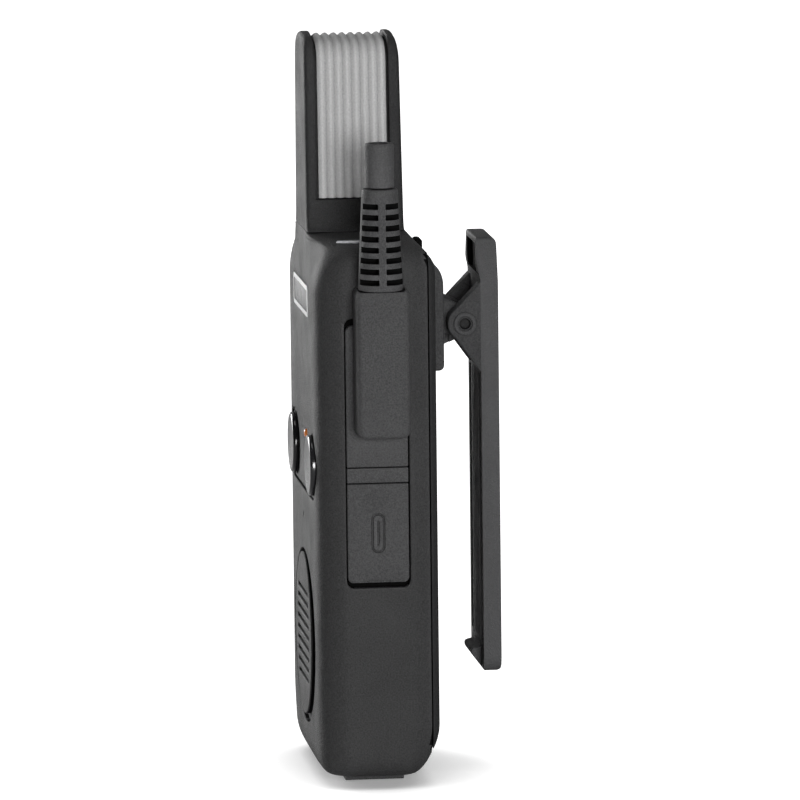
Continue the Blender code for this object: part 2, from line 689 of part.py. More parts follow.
# ---- push-to-talk -------------------------------------------------------------------
def build_ptt():
    outer = rect(-PTT_HALF_Y - 1.7, PTT_HALF_Y + 1.7, PTT_Z - PTT_HALF_Z - 1.7,
                 PTT_Z + PTT_HALF_Z + 1.7, 2.7, 5)
    inner = rect(-PTT_HALF_Y - GAP, PTT_HALF_Y + GAP, PTT_Z - PTT_HALF_Z - GAP,
                 PTT_Z + PTT_HALF_Z + GAP, 2.0, 5)
    bezel = ring("ptt_bezel", outer, inner, "X", -30.0, PTT_FLOOR_X - GAP, "mast_plastic")
    bevel(bezel, 0.15, 1)
    face = rect(-PTT_HALF_Y, PTT_HALF_Y, PTT_Z - PTT_HALF_Z, PTT_Z + PTT_HALF_Z, 1.8, 5)
    key = prism("ptt_key", face, "X", PTT_FACE_X, -28.7, "soft_rubber")
    bevel(key, 0.5, 2, 50)
    ribs = []
    for k in range(5):
        z = PTT_Z + 3.0 * (k - 2)
        ribs.append((rect(-3.0, 3.0, z - 0.4, z + 0.4), "X", -33, PTT_FACE_X + 0.35))
    boolean(key, prisms("ptt_ribs", ribs))
    stem = prism("ptt_stem_form", circle(0, PTT_Z, 1.5, 16), "X", -29.5, -25.1)
    boolean(key, stem, "UNION")
    switch = prism("ptt_switch", rect(-2.6, 2.6, PTT_Z - 3.0, PTT_Z + 3.0), "X", -24.2, -21.5,
                   "gloss_plastic")
    bevel(switch, 0.2, 1)


# ---- inside -------------------------------------------------------------------------
def build_inside():
    board = prism("main_board", rect(-25.6, 25.6, 19.5, 104.0, 1.0, 3), "Y", -5.6, -4.6,
                  "board_green")
    bevel(board, 0.1, 1)
    notch = [
        (rect(19.8, 30, USB_Z - 5.0, USB_Z + 5.0), "Y", -9, 0),
        (rect(19.5, 30, SOCKET_Z - 8.6, SOCKET_Z + 8.6), "Y", -9, 0),
        (rect(-30, -21.0, PTT_Z - 3.6, PTT_Z + 3.6), "Y", -9, 0),
        (rect(-5.6, 5.6, 101.0, 110), "Y", -9, 0),
    ]
    boolean(board, prisms("board_notches", notch))
    shield = prism("rf_shield", rect(-14.0, 14.0, 72.0, 98.0, 1.0, 3), "Y", -4.3, -2.0,
                   "shield_steel")
    bevel(shield, 0.3, 1)
    driver = [
        (0, 3.4), (7.0, 3.4), (7.0, 2.2), (12.6, 1.4), (13.0, 1.2), (13.0, 0.0), (11.6, 0.0),
        (6.0, 0.9), (2.4, 0.35), (0, 0.2),
    ]
    turned("speaker_driver", driver, (0, -9.2, SPEAKER_Z), "Y", "dark_steel", 36)
    mic = [(0, 2.4), (2.1, 2.4), (2.1, 0.2), (1.9, 0.0), (0, 0)]
    turned("microphone", mic, (0, -9.2, 54.0), "Y", "shield_steel", 20)
    seal = ring("seal_ring", circle(0, SPEAKER_Z, 13.0, 36), circle(0, SPEAKER_Z, 12.0, 36), "Y",
                -9.75, -9.3, "seal_rubber")
    seal.name = "speaker_seal"
    ring_bm("case_seal", 27.4, 26.8, 11.3, 110.1, 10.25, 11.1, "seal_rubber")
    block = prism("battery_terminal", rect(-7.0, 7.0, 96.5, 101.5, 0.5, 2), "Y", -1.7, 1.2,
                  "gloss_plastic")
    bevel(block, 0.2, 1)


# ---- rear cover and clip ------------------------------------------------------------
def build_rear():
    cover = shell("rear_cover", COVER_Y, BACK_Y, "case_plastic")
    bevel(cover, 0.3, 1, 50)
    boolean(cover, prism("cover_foot_cut", rect(-40, 40, -5, COVER_LOW), "Y", 0, 30))
    notch = rect(-3.0, 3.0, LATCH_Z0 - 1.3, 125)
    boolean(cover, prism("latch_notch", notch, "Y", 0, 30))
    holes = [(circle(x, z, 1.0, 12), "Y", 10, 14) for x, z in screw_places()]
    boolean(cover, prisms("cover_screw_holes", holes))
    move_origin(cover, (0, HINGE_Y, HINGE_Z))
    cell = prism("battery_cell", rect(-19.2, 19.2, 13.0, 94.5, 2.0, 4), "Y", 2.2, 10.6,
                 "battery_wrap")
    bevel(cell, 0.5, 1, 50)
    plate = prism("battery_contacts", rect(-6.0, 6.0, 96.8, 101.2, 0.4, 2), "Y", 1.6, 10.6,
                  "gloss_plastic")
    bevel(plate, 0.2, 1)


def screw_places():
    return [(-8.0, 90.5), (8.0, 90.5)]


def build_latch():
    outline = [
        (11.4, LATCH_Z0), (12.9, LATCH_Z0), (13.0, 108.6), (13.0, LATCH_Z1 - 0.7), (12.5, LATCH_Z1),
        (11.7, LATCH_Z1), (11.4, LATCH_Z1 - 0.5),
    ]
    latch = prism("release_latch", outline, "X", -2.6, 2.6, "gloss_plastic")
    bevel(latch, 0.25, 1, 50)


def build_clip_base():
    side = [
        (CLIP_BASE_Y0, CLIP_BASE_LOW), (15.7, CLIP_BASE_LOW), (CLIP_BASE_Y1, CLIP_BASE_LOW + 1.2),
        (CLIP_BASE_Y1, 103.9), (15.9, 105.2), (15.1, 106.9), (14.0, 108.4),
        (CLIP_BASE_Y0, CLIP_BASE_HIGH),
    ]
    base = prism("clip_base", side, "X", -CLIP_X, CLIP_X, "case_plastic")
    bevel(base, 0.4, 1, 50)
    lug = [(18.2, PIVOT_Z + 4.4), (15.0, PIVOT_Z + 4.9), (15.0, PIVOT_Z - 5.8)]
    for k in range(9):
        t = math.radians(-70 + 140 * k / 8)
        lug.append((PIVOT_Y + 2.9 * math.cos(t), PIVOT_Z + 2.9 * math.sin(t)))
    pair = prisms("lug_form", [(lug, "X", -6.5, -3.4), (lug, "X", 3.4, 6.5)])
    boolean(base, pair, "UNION")
    boolean(base, prism("pin_bore", circle(PIVOT_Y, PIVOT_Z, PIN_R + 0.04, 24), "X", -20, 20))
    tab_room = rect(-3.2, 3.2, 104.8, 120)
    boolean(base, prism("base_latch_room", tab_room, "Y", 0, 40))
    holes = [(circle(x, z, 1.25, 16), "Y", 10, 18) for x, z in screw_places()]
    boolean(base, prisms("screw_shanks", holes))
    heads = [(circle(x, z, 2.2, 16), "Y", SCREW_SEAT - 0.1, 18) for x, z in screw_places()]
    boolean(base, prisms("screw_seats", heads))
    for name, (x, z) in zip(("left", "right"), screw_places()):
        profile = [(0, 0.95), (1.5, 0.95), (1.95, 0.6), (1.95, 0.0), (0.85, 0.0), (0.85, -3.5),
                   (0, -3.5)]
        screw = turned(f"clip_screw_{name}", profile, (x, SCREW_SEAT, z), "Y", "dark_steel", 20)
        slot = prism(f"screw_slot_{name}", rect(x - 1.4, x + 1.4, z - 0.25, z + 0.25), "Y",
                     SCREW_SEAT + 0.5, 18)
        boolean(screw, slot)


def cheek_outline():
    """Side view of a cheek: a triangle rounded about the pivot."""
    points = [(25.4, 103.6), (LEVER_IN - 0.4, 103.0)]
    for k in range(9):
        t = math.radians(128 + 108 * k / 8)
        points.append((PIVOT_Y + LUG_R * math.cos(t), PIVOT_Z + LUG_R * math.sin(t)))
    points += [(LEVER_IN - 0.4, 85.0), (25.4, 84.5)]
    return points


def lever_face():
    """Rear view of the lever: narrower thumb end, rounded lower corners."""
    half = [(LEVER_X - 3.5, LEVER_LOW), (LEVER_X - 1.75, LEVER_LOW + 0.47),
            (LEVER_X - 0.47, LEVER_LOW + 1.75), (LEVER_X, LEVER_LOW + 3.5), (LEVER_X, 103.5),
            (LEVER_TIP_X + 0.3, LEVER_HIGH - 1.0), (LEVER_TIP_X - 0.7, LEVER_HIGH)]
    return mirrored(half)


def build_lever():
    side = [
        (LEVER_IN, LEVER_LOW + 0.6), (LEVER_IN + 0.5, LEVER_LOW), (LEVER_OUT - 1.2, LEVER_LOW),
        (LEVER_OUT, LEVER_LOW + 1.4), (LEVER_OUT, LEVER_HIGH - 2.0), (LEVER_OUT - 0.5, LEVER_HIGH),
        (THUMB_IN + 0.8, LEVER_HIGH), (THUMB_IN, LEVER_HIGH - 1.0), (THUMB_IN, 106.5),
        (LEVER_IN, 104.5),
    ]
    lever = prism("clip_lever", side, "X", -CLIP_X, CLIP_X, "case_plastic")
    boolean(lever, prism("lever_face_form", lever_face(), "Y", 15, 40), "INTERSECT")
    bevel(lever, 0.35, 1, 50)
    cheeks = prisms("cheek_form", [
        (cheek_outline(), "X", -LEVER_X + 0.02, -6.9), (cheek_outline(), "X", 6.9, LEVER_X - 0.02),
    ])
    boolean(lever, cheeks, "UNION")
    hook = [(24.6, 21.6), (24.6, 26.2), (LEVER_IN, 25.6), (22.4, 25.3), (22.0, 24.9), (22.0, 24.2),
            (22.15, 23.8), (LEVER_IN, 21.6)]
    boolean(lever, prism("hook_form", hook, "X", -6.3, 6.3), "UNION")
    boolean(lever, prism("lever_bore", circle(PIVOT_Y, PIVOT_Z, PIN_R + 0.04, 24), "X", -20, 20))
    grooves = []
    for x, half in ((-8.0, 1.4), (-3.6, 0.4), (-1.2, 0.4), (1.2, 0.4), (3.6, 0.4), (8.0, 1.4)):
        grooves.append((rect(x - half, x + half, 27.5, 84.1), "Y", 20, LEVER_IN + 0.7))
    boolean(lever, prisms("lever_grooves", grooves))
    move_origin(lever, (0, PIVOT_Y, PIVOT_Z))


def build_clip():
    build_clip_base()
    build_lever()
    end = LEVER_X - 0.6
    pin = [(0, end), (PIN_R - 0.2, end), (PIN_R, end - 0.2), (PIN_R, 0.2 - end),
           (PIN_R - 0.2, -end), (0, -end)]
    turned("clip_pin", pin, (0, PIVOT_Y, PIVOT_Z), "X", "steel", 24)
    coil("clip_spring", (0, PIVOT_Y, PIVOT_Z), "X", 1.9, 0.32, 4, 5.6, "steel")


clear_scene()
PARTS = make_collection("portable_radio")
CUTTERS = make_collection("cutters", hidden=True)
side_form = prism("side_form", SIDE_PROFILE, "X", -40, 40)
front_form = prism("front_form", mirrored(FRONT_HALF), "Y", -40, 40)
build_case()
build_foot()
build_front()
build_antenna()
build_door()
build_socket()
build_plug()
build_ptt()
build_inside()
build_rear()
build_latch()
build_clip()
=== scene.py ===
import math

import bmesh
import bpy
from mathutils import Matrix, Vector


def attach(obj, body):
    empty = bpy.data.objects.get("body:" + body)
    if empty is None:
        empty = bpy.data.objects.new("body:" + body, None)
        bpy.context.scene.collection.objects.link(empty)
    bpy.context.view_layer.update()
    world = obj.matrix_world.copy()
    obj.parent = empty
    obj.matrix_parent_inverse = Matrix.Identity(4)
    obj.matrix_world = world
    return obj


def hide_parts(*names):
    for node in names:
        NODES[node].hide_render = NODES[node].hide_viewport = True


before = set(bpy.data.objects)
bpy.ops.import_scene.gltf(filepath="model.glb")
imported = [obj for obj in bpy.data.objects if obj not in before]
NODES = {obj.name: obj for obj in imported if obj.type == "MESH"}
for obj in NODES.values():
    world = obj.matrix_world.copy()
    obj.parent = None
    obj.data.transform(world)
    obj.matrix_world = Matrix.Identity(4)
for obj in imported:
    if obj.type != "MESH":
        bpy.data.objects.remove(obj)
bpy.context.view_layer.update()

# The radio stands on its foot: +Z up, -Y to the front, +Y to the belt clip, +X to the plug.
# Sizes and places are in millimetres.
MM = 0.001
SHARP = 32  # smooth shading breaks at edges sharper than this many degrees
WELD = 0.002  # vertices closer than this are one
FAR = 40.0  # well outside the radio, where a cutter may end

SIDE, FRONT, BACK = 30.0, -12.5, 12.8  # half width, front face and back face of the case


# ---- mesh helpers (millimetres in, metres out) ----
def point(axis, a, b, c):
    """Metre point from a place (a, b) in the plane across an axis and a position c along it."""
    return Vector({"X": (c, a, b), "Y": (a, c, b), "Z": (a, b, c)}[axis]) * MM


def new_object(name, bm):
    """Turn a bmesh into a linked object with its faces pointing out."""
    bmesh.ops.recalc_face_normals(bm, faces=bm.faces)
    mesh = bpy.data.meshes.new(name)
    bm.to_mesh(mesh)
    bm.free()
    obj = bpy.data.objects.new(name, mesh)
    bpy.context.scene.collection.objects.link(obj)
    return obj


def loft(name, rings, close=False):
    """Skin a list of rings of metre points; caps both ends unless the rings close on themselves."""
    bm = bmesh.new()
    rows = [[bm.verts.new(p) for p in ring] for ring in rings]
    pairs = list(zip(rows[:-1], rows[1:]))
    if close:
        pairs.append((rows[-1], rows[0]))
    for low, high in pairs:
        count = len(low)
        for i in range(count):
            j = (i + 1) % count
            bm.faces.new((low[i], low[j], high[j], high[i]))
    if not close:
        bm.faces.new(rows[0])
        bm.faces.new(rows[-1])
    return new_object(name, bm)


def slab(name, outline, axis, levels):
    """Loft outline(inset) along an axis through (position, inset) levels."""
    rings = [[point(axis, a, b, pos) for a, b in outline(inset)] for pos, inset in levels]
    return loft(name, rings)


def arc(steps, start=0, sweep=90):
    """Evenly spaced angles, given in degrees and returned in radians, both ends included."""
    return [math.radians(start + sweep * k / steps) for k in range(steps + 1)]


def edges(lo, hi, r_lo, r_hi=None, steps=4):
    """Levels from lo to hi with rounded rims of the given radii."""
    r_hi = r_lo if r_hi is None else r_hi
    turns = arc(steps)
    levels = [(lo + r_lo * (1 - math.cos(t)), r_lo * (1 - math.sin(t))) for t in turns]
    levels += [(hi - r_hi * (1 - math.cos(t)), r_hi * (1 - math.sin(t))) for t in reversed(turns)]
    return levels


def flare(floor, surface, out, chamfer=0.35):
    """Levels for a cutter that opens with a small rounded lip at the surface."""
    sign = 1 if out > surface else -1
    lip = [(surface - sign * chamfer, 0.0), (surface - sign * chamfer * 0.45, -0.12 * chamfer),
           (surface - sign * chamfer * 0.12, -0.45 * chamfer), (surface + sign * 0.02, -chamfer),
           (out, -chamfer - 0.05)]
    return [(floor, 0.0)] + lip


def rounded(a0, a1, b0, b1, r, steps=6, r_low=None):
    """Rounded rectangle outline; r_low gives the two lower corners their own radius."""
    def outline(inset=0.0):
        high = max(r - inset, 0.02)
        low = high if r_low is None else max(r_low - inset, 0.02)
        x0, x1, y0, y1 = a0 + inset, a1 - inset, b0 + inset, b1 - inset
        points = []
        corners = [(x1 - high, y1 - high, high), (x0 + high, y1 - high, high),
                   (x0 + low, y0 + low, low), (x1 - low, y0 + low, low)]
        for quarter, (ca, cb, q) in enumerate(corners):
            for t in arc(steps, 90 * quarter):
                points.append((ca + q * math.cos(t), cb + q * math.sin(t)))
        return points
    return outline


def oval(ca, cb, ra, rb, steps, power=2.0):
    """Ellipse outline; a power other than 2 makes it more pointed or more square."""
    def outline(inset=0.0):
        points = []
        for k in range(steps):
            t = 2 * math.pi * k / steps
            c, s = math.cos(t), math.sin(t)
            e = 2.0 / power
            a = math.copysign(abs(c) ** e, c) * (ra - inset)
            b = math.copysign(abs(s) ** e, s) * (rb - inset)
            points.append((ca + a, cb + b))
        return points
    return outline


def disc(ca, cb, radius, steps):
    return oval(ca, cb, radius, radius, steps)


def polygon(points):
    """Outline function for any simple polygon, inset by moving its edges."""
    area = sum(a[0] * b[1] - b[0] * a[1] for a, b in zip(points, points[1:] + points[:1]))
    turn = 1 if area > 0 else -1

    def outline(inset=0.0):
        count = len(points)
        out = []
        for i in range(count):
            p, q, r = (Vector(points[(i + k) % count]) for k in (-1, 0, 1))
            d0, d1 = (q - p).normalized(), (r - q).normalized()
            n0 = Vector((-d0.y, d0.x)) * turn
            n1 = Vector((-d1.y, d1.x)) * turn
            mid = n0 + n1
            mid = mid / max(mid.dot(n0), 0.35)
            out.append(tuple(q + mid * inset))
        return out
    return outline


def rounded_polygon(points, radii, steps):
    """Replace each corner by a small curve of its own radius, then return the outline function."""
    count = len(points)
    out = []
    for i, r in enumerate(radii):
        p, q, s = (Vector(points[(i + k) % count]) for k in (-1, 0, 1))
        if r <= 0:
            out.append(tuple(q))
            continue
        a, b = (p - q), (s - q)
        cut = min(r, 0.45 * a.length, 0.45 * b.length)
        start, end = q + a.normalized() * cut, q + b.normalized() * cut
        for k in range(steps + 1):
            t = k / steps
            m = start * (1 - t) ** 2 + q * 2 * t * (1 - t) + end * t ** 2
            out.append(tuple(m))
    return polygon(out)


def ring_slab(name, outer, inner, axis, levels):
    """Ring-shaped body: its rims narrow the ring from both sides by each level's inset."""
    rings = [[point(axis, a, b, p) for a, b in outer(i)] for p, i in levels]
    rings += [[point(axis, a, b, p) for a, b in inner(-i)] for p, i in reversed(levels)]
    return loft(name, rings, close=True)


def turned(name, profile, centre, axis, steps):
    """Turned body from (radius, height) pairs, bottom to top; ends close on the axis."""
    rings = []
    for r, h in profile:
        ring = []
        for k in range(steps):
            t = 2 * math.pi * k / steps
            ring.append(point(axis, r * math.cos(t), r * math.sin(t), h) + Vector(centre) * MM)
        rings.append(ring)
    return loft(name, rings)


def cut(obj, cutter, operation="DIFFERENCE"):
    """Apply one Boolean and remove its cutter."""
    mod = obj.modifiers.new("Cut", "BOOLEAN")
    mod.operation = operation
    mod.solver = "EXACT"
    mod.object = cutter
    apply_all(obj)
    bpy.data.objects.remove(cutter, do_unlink=True)


def carve(obj, outline, axis, levels):
    """Cut a slab out of an object."""
    cut(obj, slab("cutter", outline, axis, levels))


def grow(obj, outline, axis, levels):
    """Join a slab to an object."""
    cut(obj, slab("cutter", outline, axis, levels), "UNION")


def apply_all(obj):
    """Replace an object's mesh by its evaluated one."""
    graph = bpy.context.evaluated_depsgraph_get()
    mesh = bpy.data.meshes.new_from_object(obj.evaluated_get(graph))
    obj.modifiers.clear()
    old = obj.data
    obj.data = mesh
    bpy.data.meshes.remove(old)


def smooth(obj, angle):
    """Weld the mesh and shade it smooth, apart from edges sharper than the angle."""
    bm = bmesh.new()
    bm.from_mesh(obj.data)
    bmesh.ops.remove_doubles(bm, verts=bm.verts, dist=WELD * MM)
    for face in bm.faces:
        face.smooth = True
    for edge in bm.edges:
        if len(edge.link_faces) == 2:
            edge.smooth = edge.calc_face_angle(0) < math.radians(angle)
    bm.to_mesh(obj.data)
    bm.free()


def piece(obj, look, body, nodes=(), angle=SHARP):
    """Finish a visible piece: shading, material, body and the nodes it stands for."""
    smooth(obj, angle)
    obj.data.materials.clear()
    obj.data.materials.append(M[look])
    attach(obj, body)
    if nodes:
        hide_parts(*nodes)


def darken(obj, test, look="black_and_shade"):
    """Give the faces that pass the test (centre in millimetres) a second, darker material; the
    default black stands in for painted shade.
    """
    obj.data.materials.append(M[look])
    slot = len(obj.data.materials) - 1
    for face in obj.data.polygons:
        if test(face.center / MM):
            face.material_index = slot


def inside(outline, a, b):
    """True when (a, b) lies in the closed outline."""
    points = outline(0.0)
    hit = False
    for (x0, y0), (x1, y1) in zip(points, points[1:] + points[:1]):
        if (y0 > b) != (y1 > b) and a < (x1 - x0) * (b - y0) / (y1 - y0) + x0:
            hit = not hit
    return hit


# ---- materials ----
PAINTED_SHADE_REACH = 0.7  # walls nearer than this get painted shade from each other


def tune(node, **values):
    """Set the values of a node's inputs."""
    for name, value in values.items():
        node.inputs[name].default_value = value


class Shader:
    """Small wrapper that keeps node graphs short."""

    def __init__(self, name, colour, rough, metal=0.0):
        self.mat = bpy.data.materials.new(name)
        self.mat.use_nodes = True
        self.tree = self.mat.node_tree
        self.bsdf = self.tree.nodes["Principled BSDF"]
        self.set("Base Color", (*colour, 1.0))
        self.set("Roughness", rough)
        self.set("Metallic", metal)
        self.set("Specular IOR Level", 0.5)
        coords = self.node("ShaderNodeTexCoord")
        scale = self.node("ShaderNodeVectorMath", operation="SCALE")
        scale.inputs["Scale"].default_value = 1000.0
        self.link(coords.outputs["Object"], scale.inputs[0])
        self.mm = scale.outputs[0]  # the object's own coordinates in millimetres

    def set(self, name, value):
        self.bsdf.inputs[name].default_value = value

    def node(self, kind, **settings):
        made = self.tree.nodes.new(kind)
        for key, value in settings.items():
            setattr(made, key, value)
        return made

    def link(self, a, b):
        self.tree.links.new(a, b)

    def feed(self, name, source):
        self.link(source, self.bsdf.inputs[name])

    def noise(self, scale, detail, rough=0.55, stretch=None):
        made = self.node("ShaderNodeTexNoise")
        tune(made, Scale=scale, Detail=detail, Roughness=rough)
        source = self.mm
        if stretch:
            bend = self.node("ShaderNodeVectorMath", operation="MULTIPLY")
            bend.inputs[1].default_value = stretch
            self.link(self.mm, bend.inputs[0])
            source = bend.outputs[0]
        self.link(source, made.inputs["Vector"])
        return made.outputs["Fac"]

    def ramp(self, source, stops):
        made = self.node("ShaderNodeValToRGB")
        ramp = made.color_ramp
        while len(ramp.elements) < len(stops):
            ramp.elements.new(0.5)
        for element, (pos, colour) in zip(ramp.elements, stops):
            element.position = pos
            element.color = (*colour, 1.0)
        self.link(source, made.inputs["Fac"])
        return made.outputs["Color"]

    def remap(self, source, lo, hi, to_lo, to_hi):
        made = self.node("ShaderNodeMapRange")
        for key, value in zip(("From Min", "From Max", "To Min", "To Max"), (lo, hi, to_lo, to_hi)):
            made.inputs[key].default_value = value
        self.link(source, made.inputs["Value"])
        return made.outputs["Result"]

    def mix(self, fac, a, b):
        made = self.node("ShaderNodeMix", data_type="RGBA")
        self.link(fac, made.inputs["Factor"])
        for slot, value in ((6, a), (7, b)):
            if hasattr(value, "links"):
                self.link(value, made.inputs[slot])
            else:
                made.inputs[slot].default_value = (*value, 1.0)
        return made.outputs[2]

    def bump(self, source, strength, distance, base=None):
        made = self.node("ShaderNodeBump")
        tune(made, Strength=strength, Distance=distance * MM)
        self.link(source, made.inputs["Height"])
        if base is not None:
            self.link(base, made.inputs["Normal"])
        return made.outputs["Normal"]

    def wear(self, colour_socket, light, amount):
        """Lighter rubbed tone on convex edges."""
        geo = self.node("ShaderNodeNewGeometry")
        edge = self.remap(geo.outputs["Pointiness"], 0.515, 0.60, 0.0, amount)
        return self.mix(edge, colour_socket, light)

    def painted_crevice_shade(self, colour_socket, dark):
        """Painted shade: a darker tone in gaps, slots and valleys, wherever an occlusion test finds
        walls near.
        """
        near = self.node("ShaderNodeAmbientOcclusion", samples=6)
        near.inputs["Distance"].default_value = PAINTED_SHADE_REACH * MM
        open_air = self.remap(near.outputs["AO"], 0.3, 0.85, 0.0, 1.0)
        return self.mix(open_air, dark, colour_socket)


def grey(level):
    return (level, level, level)


def shade(colour, factor):
    """A colour made lighter or darker, no channel above 1."""
    return tuple(min(c * factor, 1.0) for c in colour)


def plastic(name, colour, rough, grain, depth, vary=0.12, wear=0.5, soft=None, speck=0.8,
            gap_shade=0.25, shine=0.25):
    """Moulded plastic or rubber: grain of a scale and depth, broad tone, specks, worn edges,
    painted shade in gaps.

    soft rounds the shading of edges by a radius, gap_shade sets how dark the painted shade in gaps
    is, shine is the specular level.
    """
    s = Shader(name, colour, rough)
    s.set("Specular IOR Level", shine)
    broad = s.noise(0.035, 4.0)
    tone = s.ramp(broad, [(0.32, shade(colour, 1 - vary)), (0.68, shade(colour, 1 + vary))])
    fine = s.noise(grain, 3.0, 0.6)
    fleck = s.remap(fine, 0.3, 0.7, 0.0, 1.0)
    grained = s.mix(fleck, shade(colour, 1 - speck), shade(colour, 1 + speck))
    both = s.node("ShaderNodeMix", data_type="RGBA")
    both.inputs["Factor"].default_value = 0.5
    s.link(tone, both.inputs[6])
    s.link(grained, both.inputs[7])
    worn = s.wear(both.outputs[2], shade(colour, 2.2), wear)
    # painted shade: the base colour is darkened in gaps and valleys
    s.feed("Base Color", s.painted_crevice_shade(worn, shade(colour, gap_shade)))
    rub = s.noise(0.12, 5.0)
    s.feed("Roughness", s.remap(rub, 0.3, 0.7, rough - 0.07, rough + 0.07))
    base = None
    if soft:
        made = s.node("ShaderNodeBevel", samples=4)
        made.inputs["Radius"].default_value = soft * MM
        base = made.outputs["Normal"]
    pits = s.bump(fine, 0.9, depth, base)
    coarse = s.noise(grain * 0.35, 2.0)
    s.feed("Normal", s.bump(coarse, 0.25, depth, pits))
    return s.mat


def metal(name, colour, rough, stretch=(0.3, 0.3, 6.0)):
    """Brushed metal; stretch sets the direction of its lines."""
    s = Shader(name, colour, rough, 1.0)
    lines = s.noise(3.0, 4.0, 0.6, stretch)
    s.feed("Base Color", s.ramp(lines, [(0.3, shade(colour, 0.8)), (0.7, shade(colour, 1.1))]))
    s.feed("Roughness", s.remap(lines, 0.3, 0.7, rough - 0.08, rough + 0.1))
    s.feed("Normal", s.bump(lines, 0.3, 0.01))
    return s.mat


def lamp(name, colour, glow):
    """Clear cloudy plastic that may glow."""
    s = Shader(name, colour, 0.22)
    cloud = s.noise(1.6, 2.0)
    s.feed("Base Color", s.ramp(cloud, [(0.3, shade(colour, 0.8)), (0.7, shade(colour, 1.15))]))
    s.set("Emission Color", (*colour, 1.0))
    s.set("Emission Strength", glow)
    s.set("Coat Weight", 0.6)
    s.set("Coat Roughness", 0.08)
    s.feed("Normal", s.bump(cloud, 0.15, 0.02))
    return s.mat


def board(name):
    """Green circuit board with a grid of tinned tracks."""
    green = (0.015, 0.09, 0.04)
    s = Shader(name, green, 0.45)
    cells = s.node("ShaderNodeTexBrick")
    tune(cells, Scale=0.35, Color1=(*green, 1.0), Color2=(0.02, 0.13, 0.06, 1.0),
         Mortar=(0.32, 0.24, 0.08, 1.0))
    cells.inputs["Mortar Size"].default_value = 0.02
    s.link(s.mm, cells.inputs["Vector"])
    fine = s.noise(1.4, 3.0)
    tin = s.remap(fine, 0.55, 0.62, 0.0, 0.35)
    s.feed("Base Color", s.mix(tin, cells.outputs["Color"], (0.4, 0.38, 0.3)))
    s.feed("Normal", s.bump(fine, 0.4, 0.05))
    return s.mat


M = {
    "case": plastic("case_matt", (0.027, 0.027, 0.0275), 0.6, 3.0, 0.25, soft=0.22),
    "cover": plastic("cover_matt", (0.013, 0.013, 0.0135), 0.68, 3.0, 0.25, soft=0.15),
    "lever": plastic("clip_matt", (0.032, 0.032, 0.033), 0.6, 3.0, 0.25, wear=0.7, soft=0.15),
    "mast": plastic("mast_matt", (0.016, 0.016, 0.0165), 0.62, 3.0, 0.25, soft=0.15),
    "gloss": plastic("panel_gloss", (0.008, 0.008, 0.009), 0.14, 0.6, 0.008, vary=0.2, wear=0.2,
                     shine=0.5),
    "button": plastic("button_satin", (0.065, 0.065, 0.068), 0.3, 3.2, 0.02, wear=0.8, shine=0.5),
    "band": plastic("band_grey", grey(0.39), 0.7, 3.0, 0.05, vary=0.05, wear=0.1,
                    speck=0.25, gap_shade=0.35),
    "soft": plastic("soft_black", (0.045, 0.045, 0.046), 0.64, 3.0, 0.25, wear=0.5, soft=0.12),
    # black of the real seals, also used as painted shade at the pin's ends
    "seal_and_shade": plastic("seal_black_and_painted_shade", grey(0.01), 0.8, 2.0, 0.05, shine=0.3),
    # near-black for the latch, and painted shade on walls that lie in shadow
    "black_and_shade": plastic("black_and_painted_shade", grey(0.002), 0.9, 2.0, 0.05, wear=0.0, shine=0.06),
    "badge": plastic("badge_white", grey(0.92), 0.35, 2.0, 0.01, vary=0.03, wear=0.0,
                     speck=0.03),
    "badge_field": plastic("badge_field", (0.05, 0.05, 0.053), 0.3, 2.0, 0.01, speck=0.1),
    "wrap": plastic("cell_wrap", (0.05, 0.09, 0.17), 0.38, 0.5, 0.03, vary=0.15),
    "steel": metal("plated_steel", (0.55, 0.55, 0.57), 0.3),
    "shield": metal("tinned_shield", (0.66, 0.66, 0.68), 0.32, (2.0, 0.2, 0.2)),
    "gold": metal("gold_plate", (0.83, 0.6, 0.26), 0.25),
    "dark": metal("black_steel", (0.03, 0.03, 0.032), 0.5),
    "orange": lamp("lamp_orange", (0.85, 0.24, 0.04), 0.12),
    "lens": lamp("lens_pearl", (0.5, 0.51, 0.53), 0.0),
    "board": board("board_green"),
}


# ---- case skin ----
# Half of the plan outline, from the middle of the front round to the middle of the back. The
# straight runs carry extra points, so that the levels below can bend them.
PLAN = (
    [(4.0 * k, FRONT) for k in range(6)]
    + [(22.6, -12.48), (24.2, -12.38), (25.2, -12.15), (26.1, -11.75), (27.0, -11.1),
       (27.9, -10.2), (28.7, -9.1), (29.3, -8.1), (29.7, -7.2), (29.92, -6.4)]
    + [(SIDE, y) for y in (-5.5, -3.0, 0.0, 3.0, 6.0, 7.6)]
    + [(29.93, 7.85), (29.6, 8.9), (29.25, 10.0), (29.0, 10.9), (28.75, 11.6), (28.3, 12.2),
       (27.6, 12.6), (26.6, 12.78)]
    + [(x, BACK) for x in (25.0, 20.0, 14.0, 8.0, 3.0, 0.0)]
)
